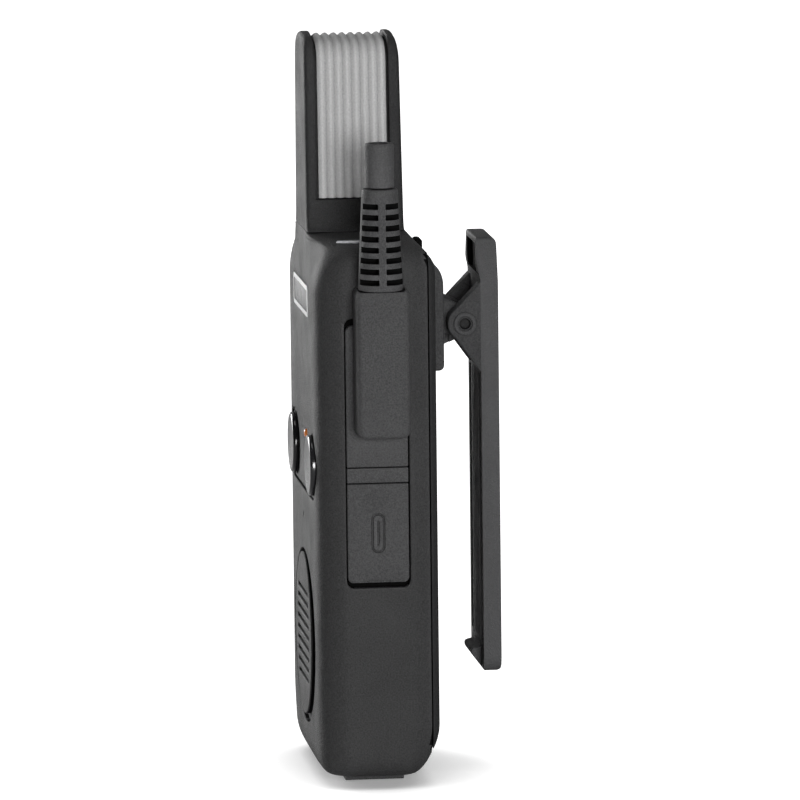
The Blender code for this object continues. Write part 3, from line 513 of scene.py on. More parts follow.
# height, half width, front depth, back depth, pull of the front corners
LEVELS = [
    (2.0, 22.8, -8.8, 5.8, 0.3), (2.03, 24.6, -9.5, 6.4, 0.3), (2.25, 26.2, -10.2, 7.2, 0.3),
    (2.7, 27.5, -10.85, 8.0, 0.3), (3.3, 28.4, -11.4, 8.6, 0.3), (4.2, 29.2, -11.9, 9.35, 0.3),
    (5.3, 29.65, -12.22, 10.1, 0.3), (6.5, 29.88, -12.44, 10.75, 0.3),
    (7.8, 29.97, FRONT, 11.4, 0.28), (8.9, SIDE, FRONT, 11.95, 0.24),
    (10.0, SIDE, FRONT, 12.35, 0.18), (11.5, SIDE, FRONT, 12.7, 0.12),
    (13.0, SIDE, FRONT, BACK, 0.06), (15.5, SIDE, FRONT, BACK, 0.0),
    (104.0, SIDE, FRONT, BACK, 0.0), (106.0, SIDE, FRONT, BACK, 0.25),
    (107.8, 29.93, FRONT, BACK, 0.65), (109.4, 29.65, FRONT, 12.75, 1.15),
    (110.8, 29.1, FRONT, 12.0, 1.75), (111.8, 28.35, FRONT, 11.15, 2.3),
    (112.6, 27.3, FRONT, 10.45, 2.8), (113.2, 25.8, FRONT, 9.9, 3.2),
    (113.6, 23.6, -12.48, 9.55, 3.3), (114.0, 20.6, -12.46, 9.2, 2.8),
    (114.4, 17.2, -12.44, 8.85, 1.9), (114.8, 14.0, -12.42, 8.5, 0.8),
    (115.1, 11.6, -12.4, 8.25, 0.0),
]
LEVEL_STEP = 3.0  # levels further apart than this get others between them
BEND = 4.0  # depths beyond this are squeezed towards each level's front and back
PULL_FROM, PULL_RUN = 9.5, 17.0  # the corner pull grows along this stretch of the width
PULL_BACK, PULL_DEPTH = 2.0, 14.5  # and along this stretch of the depth, towards the front
LONGEST_EDGE = 3.4  # longer edges of the skin are halved


def dense_levels():
    """LEVELS with evenly spaced ones filled in where they are far apart."""
    rows = []
    for low, high in zip(LEVELS[:-1], LEVELS[1:]):
        rows.append(low)
        extra = int((high[0] - low[0]) // LEVEL_STEP)
        for k in range(1, extra + 1):
            t = k / (extra + 1)
            rows.append(tuple(a + (b - a) * t for a, b in zip(low, high)))
    rows.append(LEVELS[-1])
    return rows


def case_ring(level):
    """The plan outline, both halves, fitted to one level."""
    z, half, front, back, pull = level
    outline = PLAN + [(-x, y) for x, y in PLAN[-2:0:-1]]
    ring = []
    for x, y in outline:
        px = x * half / SIDE
        if y > BEND:
            py = BEND + (y - BEND) * (back - BEND) / (BACK - BEND)
        elif y < -BEND:
            py = -BEND + (y + BEND) * (front + BEND) / (BEND + FRONT)
        else:
            py = y
        reach = min(max((abs(px) - PULL_FROM) / PULL_RUN, 0.0), 1.0)
        lead = min(max((PULL_BACK - py) / PULL_DEPTH, 0.0), 1.0)
        py += pull * reach * reach * (3 - 2 * reach) * lead
        ring.append(Vector((px, py, z)) * MM)
    return ring


def case_skin(name):
    """Solid outer form that the case and the back cover are both cut from."""
    skin = loft(name, [case_ring(level) for level in dense_levels()])
    bm = bmesh.new()
    bm.from_mesh(skin.data)
    long_edges = [e for e in bm.edges if e.calc_length() > LONGEST_EDGE * MM
                  and len(e.link_faces) == 2 and max(len(f.verts) for f in e.link_faces) == 4]
    bmesh.ops.subdivide_edges(bm, edges=long_edges, cuts=1, use_grid_fill=True)
    bm.to_mesh(skin.data)
    bm.free()
    return skin


def block(name, x0, x1, y0, y1, z0, z1):
    """Box with barely rounded upright edges, for cutters and lips."""
    return slab(name, rounded(x0, x1, y0, y1, 0.02, 1), "Z", [(z0, 0), (z1, 0)])


# ---- case and back cover ----
SEAM_CASE, SEAM_COVER = 10.9, 11.2  # depths where the case ends and the back cover begins
COVER_LOW = 8.0  # lower edge of the back cover
WALL_INNER = -9.0  # depth inside the front wall, where openings in it end
OPEN_FRONT = FRONT - 1.5  # clear of the front, where cutters of front openings end
OPEN_SIDE = SIDE + 2.0  # the same for the plug side

DOOR = rounded(-6.65, 6.65, 42.5, 98.9, 1.6)
PANEL = rounded(-25.0, 25.0, 59.4, 74.4, 7.5, 12)
BADGE = rounded(-14.0, 14.0, 97.3, 103.9, 1.3)
BADGE_POCKET = rounded(-14.15, 14.15, 97.15, 104.05, 1.4)
KEY_Z = 82.0  # middle of the talk key
KEY_POCKET = rounded(-6.6, 6.6, KEY_Z - 15.0, KEY_Z + 15.0, 3.0)

GRIP_Z, GRIP_RX, GRIP_RZ = 28.2, 20.5, 18.4  # speaker recess
PAD_X, PAD_RX, PAD_RZ = -3.6, 15.6, 17.2  # the pad in it, which stays level with the front
GRIP_OUT = oval(0, GRIP_Z, GRIP_RX, GRIP_RZ, 96)
GRIP_IN = oval(PAD_X, GRIP_Z, PAD_RX, PAD_RZ, 96)
GRIP_CORE = oval(PAD_X, GRIP_Z, PAD_RX - 0.1, PAD_RZ - 0.1, 96)
SLOT_COUNT, SLOT_PITCH, SLOT_HALF, SLOT_REACH = 9, 2.3, 0.45, 11.0

BUTTON_X, BUTTON_Z = 17.5, 66.9
LAMP_X, LAMP_Z, LAMP_HOLE = 4.8, 71.9, 1.0
MIC_Z, MIC_R = 54.0, 0.6
LENS_X, LENS_Y, LENS_POWER = 21.0, -2.85, 1.6  # status light and the point of its ends
PLUG_Y, CABLE_X, CABLE_Y = 0.8, 34.8, 0.55
PIVOT_Y, PIVOT_Z = 20.8, 94.9  # belt clip's pin


def slot_rows():
    """Height and half length of each speaker slot."""
    rows = []
    for k in range(SLOT_COUNT):
        z = GRIP_Z + SLOT_PITCH * (k - SLOT_COUNT // 2)
        reach = SLOT_REACH * math.sqrt(1 - ((z - GRIP_Z) / GRIP_RZ) ** 2)
        rows.append((z, reach))
    return rows


def cut_speaker(case):
    """Crescent recess round the pad, and the slots across the pad."""
    tracks = [(OPEN_FRONT, -0.2), (FRONT, -0.15), (-12.4, -0.04), (-12.2, 0.0), (-11.5, 0.0)]
    cut(case, ring_slab("groove", GRIP_OUT, GRIP_IN, "Y", tracks))
    for z, reach in slot_rows():
        slot = rounded(PAD_X - reach, PAD_X + reach, z - SLOT_HALF, z + SLOT_HALF, 0.44)
        carve(case, slot, "Y", flare(WALL_INNER, FRONT, OPEN_FRONT, 0.2))


def in_case_shade(p):
    """Walls given painted shade: door recess, rear rim, panel pocket and the crescent's walls."""
    if 28.0 < p.x < 29.6 and inside(DOOR, p.y, p.z):
        return True
    if p.y > 10.6:
        return True
    if not -12.2 < p.y < -10.0:
        return False
    if inside(PANEL, p.x, p.z):
        return True
    above_floor = p.y < -11.55
    return above_floor and inside(GRIP_OUT, p.x, p.z) and not inside(GRIP_CORE, p.x, p.z)


def make_case():
    """Hollow case, open at the back, with a pocket or hole for each piece set into it."""
    case = case_skin("case_shell")
    cut(case, block("room", -FAR, FAR, SEAM_CASE, FAR, -5, 130))
    cavity = polygon([(-9.8, 108.5), (-9.8, 18.0), (-5.0, 10.5), (20.0, 10.5), (20.0, 108.5)])
    carve(case, cavity, "X", [(-26.2, 0), (26.2, 0)])
    carve(case, DOOR, "X", flare(28.3, SIDE, OPEN_SIDE, 0.4))
    carve(case, PANEL, "Y", flare(-10.9, FRONT, OPEN_FRONT, 0.2))
    carve(case, KEY_POCKET, "X", flare(-27.6, -SIDE, -OPEN_SIDE, 0.4))
    carve(case, BADGE_POCKET, "Y", flare(-12.1, FRONT, OPEN_FRONT, 0.12))
    cut_speaker(case)
    for x in (-BUTTON_X, BUTTON_X):
        carve(case, disc(x, BUTTON_Z, 2.55, 32), "Y", [(WALL_INNER, 0), (-12, 0)])
    carve(case, disc(LAMP_X, LAMP_Z, LAMP_HOLE, 32), "Y", [(WALL_INNER, 0), (-12, 0)])
    carve(case, disc(0, MIC_Z, MIC_R, 24), "Y", flare(WALL_INNER, FRONT, OPEN_FRONT, 0.15))
    charging_port = rounded(-1.9, 1.9, 49.2, 58.8, 1.85)
    plug_socket = rounded(-5.1, 5.1, 74.7, 91.3, 1.0)
    carve(case, charging_port, "X", [(25, 0), (29, 0)])
    carve(case, plug_socket, "X", [(25, 0), (29, 0)])
    key_stem = disc(0, KEY_Z, 1.9, 32)
    carve(case, key_stem, "X", [(-25, 0), (-29, 0)])
    lens_hole = oval(LENS_X, LENS_Y, 1.35, 4.5, 48, LENS_POWER)
    carve(case, lens_hole, "Z", [(112.4, 0), (118, 0)])
    piece(case, "case", "radio_body", ["main_case"])
    # painted shade: faces of walls that lie in shadow get the black material
    darken(case, in_case_shade)


def make_cover():
    """Back cover with lips at both ends that close the seam towards the case."""
    cover = case_skin("back_cover")
    cut(cover, block("front", -FAR, FAR, -FAR, SEAM_COVER, -5, 130))
    cut(cover, block("ledge", -FAR, FAR, -FAR, FAR, -5, COVER_LOW))
    latch_notch = rounded(-3.0, 3.0, 104.9, 125.0, 0.6)
    carve(cover, latch_notch, "Y", [(5, 0), (30, 0)])
    for z0, z1 in ((COVER_LOW + 0.5, 10.9), (110.3, 111.6)):
        for x0, x1 in ((-24.0, -3.3), (3.3, 24.0)):
            cut(cover, block("lip", x0, x1, SEAM_CASE + 0.08, SEAM_COVER + 0.3, z0, z1), "UNION")
    piece(cover, "cover", "rear_pack", ["rear_cover"])


# ---- mast ----
MAST_ROOT, MAST_BEND, MAST_TOP = 115.4, 150.0, 156.0  # root, foot of the crown's curve, top
MAST_START = 115.12  # lowest outline point, hidden by the case's top
MAST_HALF, MAST_TAPER = 11.5, 1.75 / 34.6  # half width at the root, its loss for each mm up
MAST_CORNER = 5.0  # radius of the crown's corners
CROWN_STEPS = 12
TROUGH = 1.6  # depth of the groove that holds the ribbed band
TROUGH_LOW = 121.7
TROUGH_FRONT, TROUGH_BACK = -10.15, 5.45
MAST_REAR = 8.25
BAND_LOW, BAND_FRONT, BAND_BACK = 122.0, -9.5, 4.95
RIBS, RIB_STEPS = 8, 8
RIB_VALLEY, RIB_RISE = 0.55, 0.62


def mast_half(z):
    return MAST_HALF - (z - MAST_ROOT) * MAST_TAPER


def mast_side(inset, low, trough, trough_low):
    """Half outline of the mast, right side from the root up to the crown's middle."""
    root_flare = ((0.0, 1.0), (0.35, 0.55), (0.9, 0.22), (1.6, 0.05), (2.3, 0.0))
    points = [(mast_half(low + up) - inset + spread, low + up) for up, spread in root_flare]
    points.append((mast_half(trough_low) - inset, trough_low - 0.001))
    points.append((mast_half(trough_low) - inset - trough, trough_low))
    for k in range(1, 7):
        z = trough_low + (MAST_BEND - trough_low) * k / 7
        points.append((mast_half(z) - inset - trough, z))
    corner = mast_half(MAST_BEND) - inset - trough - MAST_CORNER
    crown = MAST_TOP - inset - trough
    for t in arc(CROWN_STEPS):
        points.append((corner + MAST_CORNER * math.cos(t),
                       MAST_BEND + (crown - 0.45 - MAST_BEND) * math.sin(t)))
    return points + [(corner * 0.5, crown - 0.12), (0.0, crown)]


def both_sides(half):
    """Close a right half outline with its mirror image; the last point is on the middle."""
    return half + [(-x, z) for x, z in half[-2::-1]]


def mast_ring(y, inset, trough, lean=0.0, drop=0.0):
    """One cross-section; drop lowers the crown more than the inset alone."""
    drop_low = MAST_TOP - 10.0
    half = [(x, z - drop * min(max((z - drop_low) / 10.0, 0.0), 1.0) ** 2)
            for x, z in mast_side(inset, MAST_START, trough, TROUGH_LOW)]
    height = MAST_TOP - MAST_ROOT
    return [Vector((x, y - lean * (z - MAST_ROOT) / height, z)) * MM for x, z in both_sides(half)]


def make_mast():
    front = [(-12.3, 1.3), (-12.24, 0.8), (-12.08, 0.42), (-11.8, 0.14), (-11.5, 0.0)]
    rows = [mast_ring(y, inset, 0.0) for y, inset in front]
    groove = [(TROUGH_FRONT - 0.15, 0.0), (TROUGH_FRONT - 0.04, 0.06), (TROUGH_FRONT, 0.22),
              (TROUGH_FRONT, TROUGH), (TROUGH_BACK, TROUGH), (TROUGH_BACK, 0.22),
              (TROUGH_BACK + 0.04, 0.06)]
    rows += [mast_ring(y, 0.0, depth) for y, depth in groove]
    back = [(5.6, 0.0, 0.0), (6.6, 0.0, 0.05), (7.1, 0.0, 0.22), (7.5, 0.1, 0.5),
            (7.8, 0.3, 0.85), (8.05, 0.65, 1.3), (8.2, 1.05, 1.8), (MAST_REAR, 1.5, 2.3)]
    for y, inset, drop in back:
        lean = 0.5 * (y - TROUGH_BACK) / (MAST_REAR - TROUGH_BACK)
        rows.append(mast_ring(y, inset, 0.0, lean, drop))
    mast = loft("mast_shell", rows)
    cut(mast, block("well", -6, 6, -4, 1, 110, 149))
    piece(mast, "mast", "radio_body", ["antenna_housing"], 38)


def band_path(depth):
    """Outline that the band follows at a depth below the mast's surface, without the root."""
    root_points = 6
    return both_sides(mast_side(0.0, BAND_LOW, depth, BAND_LOW)[root_points:])


def make_band():
    """Ribbed strip up one side of the mast, over its crown and down the other side."""
    pitch = (BAND_BACK - BAND_FRONT) / RIBS
    section = [(BAND_FRONT + 0.05, 0.0), (BAND_FRONT, 0.4)]
    for k in range(RIBS):
        for s in range(RIB_STEPS):
            t = s / RIB_STEPS
            rise = 0.5 - 0.5 * math.cos(2 * math.pi * t)
            section.append((BAND_FRONT + pitch * (k + t), RIB_VALLEY + RIB_RISE * rise ** 0.7))
    section += [(BAND_BACK, RIB_VALLEY), (BAND_BACK, 0.4), (BAND_BACK - 0.05, 0.0)]
    rings = []
    for (x0, z0), (x1, z1) in zip(band_path(1.5), band_path(0.5)):
        way = Vector((x1 - x0, 0, z1 - z0))
        if z0 <= BAND_LOW + 0.01:
            way = Vector((math.copysign(1.0, x0), 0, 0))
        way.normalize()
        rings.append([(Vector((x0, y, z0)) + way * h) * MM for y, h in section])
    band = loft("mast_band", rings)
    piece(band, "band", "radio_body", ["antenna_band"], 60)


# ---- front ----
PANEL_FACE = -12.1
BUTTON_FACE, BUTTON_RIM_R, BUTTON_SKIRT = -13.4, 5.9, -12.9


def make_button(side, sign):
    """Satin face disc with a polished black rim and skirt."""
    profile = [
        (0.02, 0.34), (1.4, 0.33), (2.8, 0.29), (4.2, 0.2), (5.1, 0.1), (5.55, 0.02), (5.8, 0.0),
        (6.0, 0.03), (6.22, 0.13), (6.35, 0.28), (6.4, 0.5), (6.4, 1.5), (6.32, 1.7), (6.15, 1.8),
        (2.2, 1.8), (2.2, 6.0), (0.02, 6.0),
    ]
    centre = (sign * BUTTON_X, BUTTON_FACE, BUTTON_Z)
    button = turned(f"button_{side}", profile, centre, "Y", 72)
    piece(button, "button", f"{side}_button", [f"front_button_{side}"], 50)

    def polished(p):
        off = math.hypot(p.x - centre[0], p.z - centre[2])
        return off > BUTTON_RIM_R or p.y > BUTTON_SKIRT
    darken(button, polished, "gloss")


def make_panel():
    panel = slab("panel_inlay", rounded(-24.7, 24.7, 59.7, 74.1, 7.2, 12), "Y",
                 edges(PANEL_FACE, -11.2, 0.12, 0.1))
    opening = flare(WALL_INNER, PANEL_FACE, OPEN_FRONT, 0.1)
    for x in (-BUTTON_X, BUTTON_X):
        carve(panel, disc(x, BUTTON_Z, 6.7, 64), "Y", opening)
    carve(panel, disc(LAMP_X, LAMP_Z, LAMP_HOLE, 32), "Y", opening)
    piece(panel, "case", "radio_body", ["button_panel"])


def make_call_lamp():
    dome = [(0.02, 0.0), (0.45, 0.02), (0.66, 0.12), (0.8, 0.3), (0.85, 0.5), (0.85, 2.9),
            (0.02, 2.9)]
    bulb = turned("call_light", dome, (LAMP_X, -12.7, LAMP_Z), "Y", 40)
    piece(bulb, "orange", "radio_body", ["call_lamp"], 50)


def make_badge():
    """White frame round a blank dark field."""
    field_back = -12.42
    plate = slab("badge_frame", BADGE, "Y", edges(-12.62, -12.12, 0.1, 0.05))
    carve(plate, rounded(-13.0, 13.0, 98.3, 102.9, 0.6), "Y", [(field_back, 0), (OPEN_FRONT, 0)])
    piece(plate, "badge", "radio_body", ["badge_plate"])
    field = slab("badge_inlay", rounded(-12.95, 12.95, 98.35, 102.85, 0.55), "Y",
                 edges(-12.5, field_back + 0.01, 0.03))
    piece(field, "badge_field", "radio_body")


def make_status_light():
    """Low dome on the top shoulder, tilted down towards the side."""
    outline = oval(LENS_X, LENS_Y, 1.15, 4.3, 56, LENS_POWER)
    tilt = 0.07
    rings = []
    for inset, height in ((0.05, 112.5), (0.0, 112.9), (0.0, 113.85), (0.1, 114.08), (0.3, 114.2),
                          (0.6, 114.24)):
        rings.append([point("Z", a, b, height - tilt * (a - LENS_X)) for a, b in outline(inset)])
    lens = loft("status_light", rings)
    piece(lens, "lens", "radio_body", ["status_lens"], 50)


def make_foot():
    """Foot block with a charge contact in each half of its depth."""
    side = polygon([(-6.15, 0.0), (6.15, 0.0), (6.15, 1.7), (-6.15, 1.7)])
    contacts = (("left", -5.0), ("right", 5.0))
    foot = slab("foot_pad", side, "X", edges(-18.0, 18.0, 0.5))
    for _, x in contacts:
        carve(foot, disc(x, 0, 1.8, 40), "Z", flare(6, 0.0, -2, 0.2))
    piece(foot, "soft", "radio_body", ["foot_block"])
    profile = [(0.02, 0.1), (1.2, 0.1), (1.45, 0.2), (1.58, 0.45), (1.58, 2.4), (1.0, 2.6),
               (1.0, 9.0), (0.02, 9.0)]
    for side_name, x in contacts:
        pin = turned(f"contact_{side_name}", profile, (x, 0, 0), "Z", 40)
        piece(pin, "gold", "radio_body", [f"charge_contact_{side_name}"])


# ---- side door and plug ----
DOOR_HALF = 6.43  # half depth of the strap, flap and flange
DOOR_BASE, DOOR_FACE = 28.6, 29.9
NOTCH_ROWS, NOTCH_PITCH, NOTCH_HALF, NOTCH_WEB = 8, 2.24, 0.58, 0.75
RELIEF_LOW, RELIEF_HIGH = 105.5, 126.5
RELIEF_WIDE, RELIEF_NARROW, COLLAR = 4.7, 3.75, 3.45
CABLE_R, CABLE_TOP = 3.0, 135.9


def make_door():
    """Strap, and the flap with the outline of the charging port moulded on it."""
    strap = slab("door_strap", rounded(-DOOR_HALF, DOOR_HALF, 64.53, 67.67, 0.2), "X",
                 edges(DOOR_BASE, DOOR_FACE, 0.1, 0.3))
    piece(strap, "soft", "radio_body", ["flap_strap"])
    flap = slab("port_cover", rounded(-DOOR_HALF, DOOR_HALF, 43.6, 64.37, 0.25, 6, 1.2), "X",
                edges(28.7, DOOR_FACE, 0.1, 0.32))
    pill_out = rounded(-1.4, 1.4, 49.85, 58.15, 1.38)
    pill_in = rounded(-1.0, 1.0, 50.25, 57.75, 0.98)
    tracks = [(31.0, -0.12), (29.92, -0.1), (29.8, -0.02), (29.62, 0.08)]
    cut(flap, ring_slab("pill", pill_out, pill_in, "X", tracks))
    port_bar = rounded(-0.24, 0.24, 51.4, 56.6, 0.23)
    finger_pull = rounded(-2.6, 2.6, 43.0, 44.1, 0.5)
    carve(flap, port_bar, "X", flare(29.6, DOOR_FACE, 31, 0.1))
    carve(flap, finger_pull, "X", flare(29.45, DOOR_FACE, 31, 0.15))
    piece(flap, "soft", "port_flap", ["usb_flap"])


def make_plug():
    """Flange against the case, and the plug's body with a step where its sleeve starts."""
    flange = slab("plug_base", rounded(-DOOR_HALF, DOOR_HALF, 67.83, 97.5, 1.5, 6, 0.25), "X",
                  edges(DOOR_BASE, 29.95, 0.1, 0.3))
    carve(flange, rounded(-3.5, 3.5, 76.4, 89.6, 0.5), "X", [(20, 0), (FAR, 0)])
    piece(flange, "soft", "headset_plug", ["plug_flange"])
    outline = rounded(PLUG_Y - 5.65, PLUG_Y + 5.65, 74.45, 106.1, 2.1, 8)
    levels = [(30.3, 0.25), (30.4, 0.08), (30.6, 0.0), (35.6, 0.05)]
    for t in arc(7)[1:]:
        levels.append((35.9 + 1.7 * math.sin(t), 0.06 + 1.25 * (1 - math.cos(t))))
    body = slab("plug_shell", outline, "X", levels)
    step = rounded(CABLE_Y - 4.9, CABLE_Y + 4.9, 105.2, 112.0, 0.5)
    carve(body, step, "X", [(28.0, 0), (FAR, 0)])
    piece(body, "soft", "headset_plug", ["plug_body"], 40)


def make_relief():
    """Tapered sleeve with rows of notches, four to a row, between a front and a back web."""
    low, high, fall = RELIEF_LOW, RELIEF_HIGH, RELIEF_WIDE - RELIEF_NARROW
    profile = [(0.02, low), (RELIEF_WIDE - 0.2, low), (RELIEF_WIDE - 0.03, low + 0.2),
               (RELIEF_WIDE, low + 0.5)]
    for k in range(1, 12):
        t = k / 12
        profile.append((RELIEF_WIDE - fall * t, low + 0.5 + (high - low - 1.0) * t))
    profile += [(RELIEF_NARROW - 0.02, high - 0.45), (RELIEF_NARROW - 0.12, high - 0.15),
                (RELIEF_NARROW - 0.35, high), (0.02, high)]
    relief = turned("relief_sleeve", profile, (CABLE_X, CABLE_Y, 0), "Z", 72)
    for k in range(NOTCH_ROWS):
        z = high - COLLAR - NOTCH_PITCH * k
        for y0, y1 in ((CABLE_Y - 8.0, CABLE_Y - NOTCH_WEB), (CABLE_Y + NOTCH_WEB, CABLE_Y + 8.0)):
            shape = rounded(y0, y1, z - NOTCH_HALF, z + NOTCH_HALF, 0.15, 3)
            for x0, x1 in ((CABLE_X + 1.3, CABLE_X + 9.0), (CABLE_X - 9.0, CABLE_X - 1.3)):
                carve(relief, shape, "X", [(x0, 0), (x1, 0)])
    piece(relief, "soft", "headset_plug", ["strain_relief"])

    def in_notch(p):
        skin = RELIEF_WIDE - fall * (p.z - low - 0.5) / (high - low - 1.0)
        off = math.hypot(p.x - CABLE_X, p.y - CABLE_Y)
        return low + 1.0 < p.z < high - 1.0 and off < skin - 0.2
    # painted shade: the notches' inner faces get the black material
    darken(relief, in_notch)


def make_cable_end():
    """Short cable with a jacket and a core, cut off square."""
    r, top = CABLE_R, CABLE_TOP
    stub = turned("cable_end", [
        (0.02, 126.8), (r, 126.8), (r, top - 0.5), (r - 0.05, top - 0.25), (r - 0.2, top - 0.05),
        (r - 0.45, top), (2.05, top), (1.95, top - 0.05), (1.9, top - 0.3), (1.85, top - 0.35),
        (0.02, top - 0.3),
    ], (CABLE_X, CABLE_Y, 0), "Z", 64)
    piece(stub, "soft", "headset_plug", ["cable_stub"])


# ---- talk key ----
def make_key():
    """Talk key with ribs and a stem, in its own bezel."""
    bezel = ring_slab("key_bezel", rounded(-6.3, 6.3, KEY_Z - 14.7, KEY_Z + 14.7, 2.7),
                      rounded(-4.9, 4.9, KEY_Z - 13.3, KEY_Z + 13.3, 2.0), "X",
                      [(-30.0, 0.3), (-29.93, 0.1), (-29.7, 0.0), (-27.9, 0.0)])
    piece(bezel, "mast", "radio_body", ["ptt_bezel"])
    levels = [(-28.7, 0.1), (-28.9, 0.0), (-30.4, 0.0)]
    for t in arc(6)[1:]:
        levels.append((-30.5 - 0.7 * math.sin(t), 0.9 * (1 - math.cos(t))))
    key = slab("talk_pad", rounded(-4.6, 4.6, KEY_Z - 13.0, KEY_Z + 13.0, 1.9, 8), "X", levels)
    for k in range(5):
        z = KEY_Z + 3.0 * (k - 2)
        carve(key, rounded(-3.0, 3.0, z - 0.45, z + 0.45, 0.44), "X", flare(-30.8, -31.2, -33, 0.2))
    grow(key, disc(0, KEY_Z, 1.5, 32), "X", [(-29.5, 0), (-25.1, 0)])
    piece(key, "soft", "talk_key", ["ptt_key"])


# ---- rear ----
BASE_FRONT, BASE_BACK = 12.85, 16.35  # depths of the clip base
SCREW_X, SCREW_Z = 8.0, 90.5
PIN_HOLE = 1.2
LEVER_INNER, LEVER_OUTER, THUMB_INNER = 24.1, 27.85, 23.5
THUMB_POCKET = rounded(-7.2, 7.2, 105.2, 111.3, 1.0)
# outline of the painted shade in the thumb pocket
THUMB_SHADE = rounded(-7.3, 7.3, 105.1, 111.4, 1.0)


def pin_bore():
    hole = disc(PIVOT_Y, PIVOT_Z, PIN_HOLE, 40)
    return slab("bore", hole, "X", [(-20, 0), (20, 0)])


def make_clip_base():
    """Plate on the cover with two bored lugs, a slot for the latch and two screw seats."""
    side = rounded_polygon([(BASE_FRONT, 85.1), (BASE_BACK, 85.1), (BASE_BACK, 104.2),
                            (15.5, 106.6), (BASE_FRONT, 109.0)], [0.1, 1.3, 2.2, 1.6, 0.1], 6)
    base = slab("clip_mount", side, "X", edges(-11.5, 11.5, 0.5))
    profile = [(18.2, PIVOT_Z + 4.4), (14.8, PIVOT_Z + 4.9), (14.8, PIVOT_Z - 5.8)]
    for t in arc(16, -72, 144):
        profile.append((PIVOT_Y + 2.9 * math.cos(t), PIVOT_Z + 2.9 * math.sin(t)))
    for x0, x1 in ((-6.5, -3.4), (3.4, 6.5)):
        grow(base, polygon(profile), "X", edges(x0, x1, 0.3, steps=3))
    cut(base, pin_bore())
    latch_room = rounded(-3.2, 3.2, 104.8, 120, 0.5)
    carve(base, latch_room, "Y", [(0, 0), (FAR, 0)])
    for x in (-SCREW_X, SCREW_X):
        carve(base, disc(x, SCREW_Z, 1.25, 32), "Y", [(10, 0), (18, 0)])
        carve(base, disc(x, SCREW_Z, 2.2, 40), "Y", flare(15.1, BASE_BACK, 18, 0.2))
    piece(base, "lever", "rear_pack", ["clip_base"])
    make_screw("left", -SCREW_X)
    make_screw("right", SCREW_X)


def make_screw(side_name, x):
    """Pan-head screw with a cross drive."""
    profile = [(0.02, -3.5), (0.85, -3.5), (0.85, 0.0), (1.95, 0.0), (1.95, 0.55),
               (1.8, 0.72), (1.5, 0.84), (0.8, 0.93), (0.02, 0.95)]
    screw = turned(f"screw_{side_name}", profile, (x, 15.2, SCREW_Z), "Y", 40)
    for across, up in ((0.22, 1.2), (1.2, 0.22)):
        bar = rounded(x - across, x + across, SCREW_Z - up, SCREW_Z + up, 0.1, 2)
        carve(screw, bar, "Y", [(15.65, 0), (17, 0)])
    piece(screw, "dark", "rear_pack", [f"clip_screw_{side_name}"])


def make_latch():
    side = rounded_polygon([(11.4, 106.2), (12.9, 106.2), (13.0, 108.4), (13.0, 112.0),
                            (11.4, 112.0)], [0.1, 0.2, 0.0, 0.8, 0.5], 5)
    latch = slab("latch_tab", side, "X", edges(-2.6, 2.6, 0.4))
    for k in range(3):
        z = 108.0 + 0.9 * k
        carve(latch, rounded(-1.9, 1.9, z - 0.16, z + 0.16, 0.15, 2), "Y", [(12.8, 0), (14, 0)])
    piece(latch, "black_and_shade", "pack_latch", ["release_latch"])


def lever_face():
    """Rear outline of the lever: narrower thumb end, rounded lower corners."""
    low, tip = [], []
    for t in arc(6):
        low.append((7.7 + 3.5 * math.sin(t), 24.3 - 3.5 * math.cos(t)))
        tip.append((7.45 + 1.05 * math.cos(t), 111.65 + 1.05 * math.sin(t)))
    side = low + [(11.2, 103.5)] + tip
    return side + [(-x, z) for x, z in reversed(side)]


def make_lever():
    """Long arm with two bored cheeks, a hook at its foot and a pocket behind the thumb end."""
    side = rounded_polygon([
        (LEVER_INNER, 21.3), (24.6, 20.8), (LEVER_OUTER, 20.8), (LEVER_OUTER, 112.7),
        (THUMB_INNER, 112.7), (THUMB_INNER, 106.6), (LEVER_INNER, 104.4),
    ], [0.3, 0.3, 1.5, 1.6, 0.6, 1.0, 1.0], 6)
    lever = slab("clip_arm", side, "X", edges(-11.9, 11.9, 0.1, steps=2))
    rings = [[point("Y", x, z, y) for x, z in lever_face()] for y in (10.0, FAR)]
    cut(lever, loft("face", rings), "INTERSECT")
    profile = [(25.6, 103.9), (23.9, 103.3)]
    for t in arc(16, 128, 108):
        profile.append((PIVOT_Y + 3.6 * math.cos(t), PIVOT_Z + 3.6 * math.sin(t)))
    profile += [(23.9, 84.8), (25.6, 84.3)]
    for x0, x1 in ((-11.18, -6.9), (6.9, 11.18)):
        grow(lever, polygon(profile), "X", edges(x0, x1, 0.3, steps=3))
    hook = polygon([(24.7, 22.0), (24.7, 26.2), (24.1, 25.9), (23.6, 25.65), (22.6, 25.4),
                    (22.25, 25.25), (22.05, 25.0), (22.0, 24.6), (22.05, 24.25), (22.2, 23.9),
                    (24.0, 21.5)])
    grow(lever, hook, "X", [(-6.3, 0.2), (-6.1, 0.0), (6.1, 0.0), (6.3, 0.2)])
    boss_out = disc(PIVOT_Y, PIVOT_Z, 2.4, 48)
    boss_in = disc(PIVOT_Y, PIVOT_Z, 1.5, 48)
    for sign in (1, -1):
        levels = [(sign * 11.0, 0), (sign * 11.4, 0), (sign * 11.55, 0.18)]
        cut(lever, ring_slab("boss", boss_out, boss_in, "X", levels), "UNION")
    cut(lever, pin_bore())
    for x, half in ((-8.0, 1.4), (-3.6, 0.4), (-1.2, 0.4), (1.2, 0.4), (3.6, 0.4), (8.0, 1.4)):
        carve(lever, rounded(x - half, x + half, 27.5, 84.1, 0.35, 3), "Y",
              flare(24.8, LEVER_INNER, 20.0, 0.12))
    carve(lever, THUMB_POCKET, "Y", flare(24.6, THUMB_INNER, 20.0, 0.15))
    piece(lever, "lever", "belt_clip", ["clip_lever"])
    # painted shade: the thumb pocket's faces get the black material
    darken(lever, lambda p: 23.7 < p.y < 24.7 and inside(THUMB_SHADE, p.x, p.z))


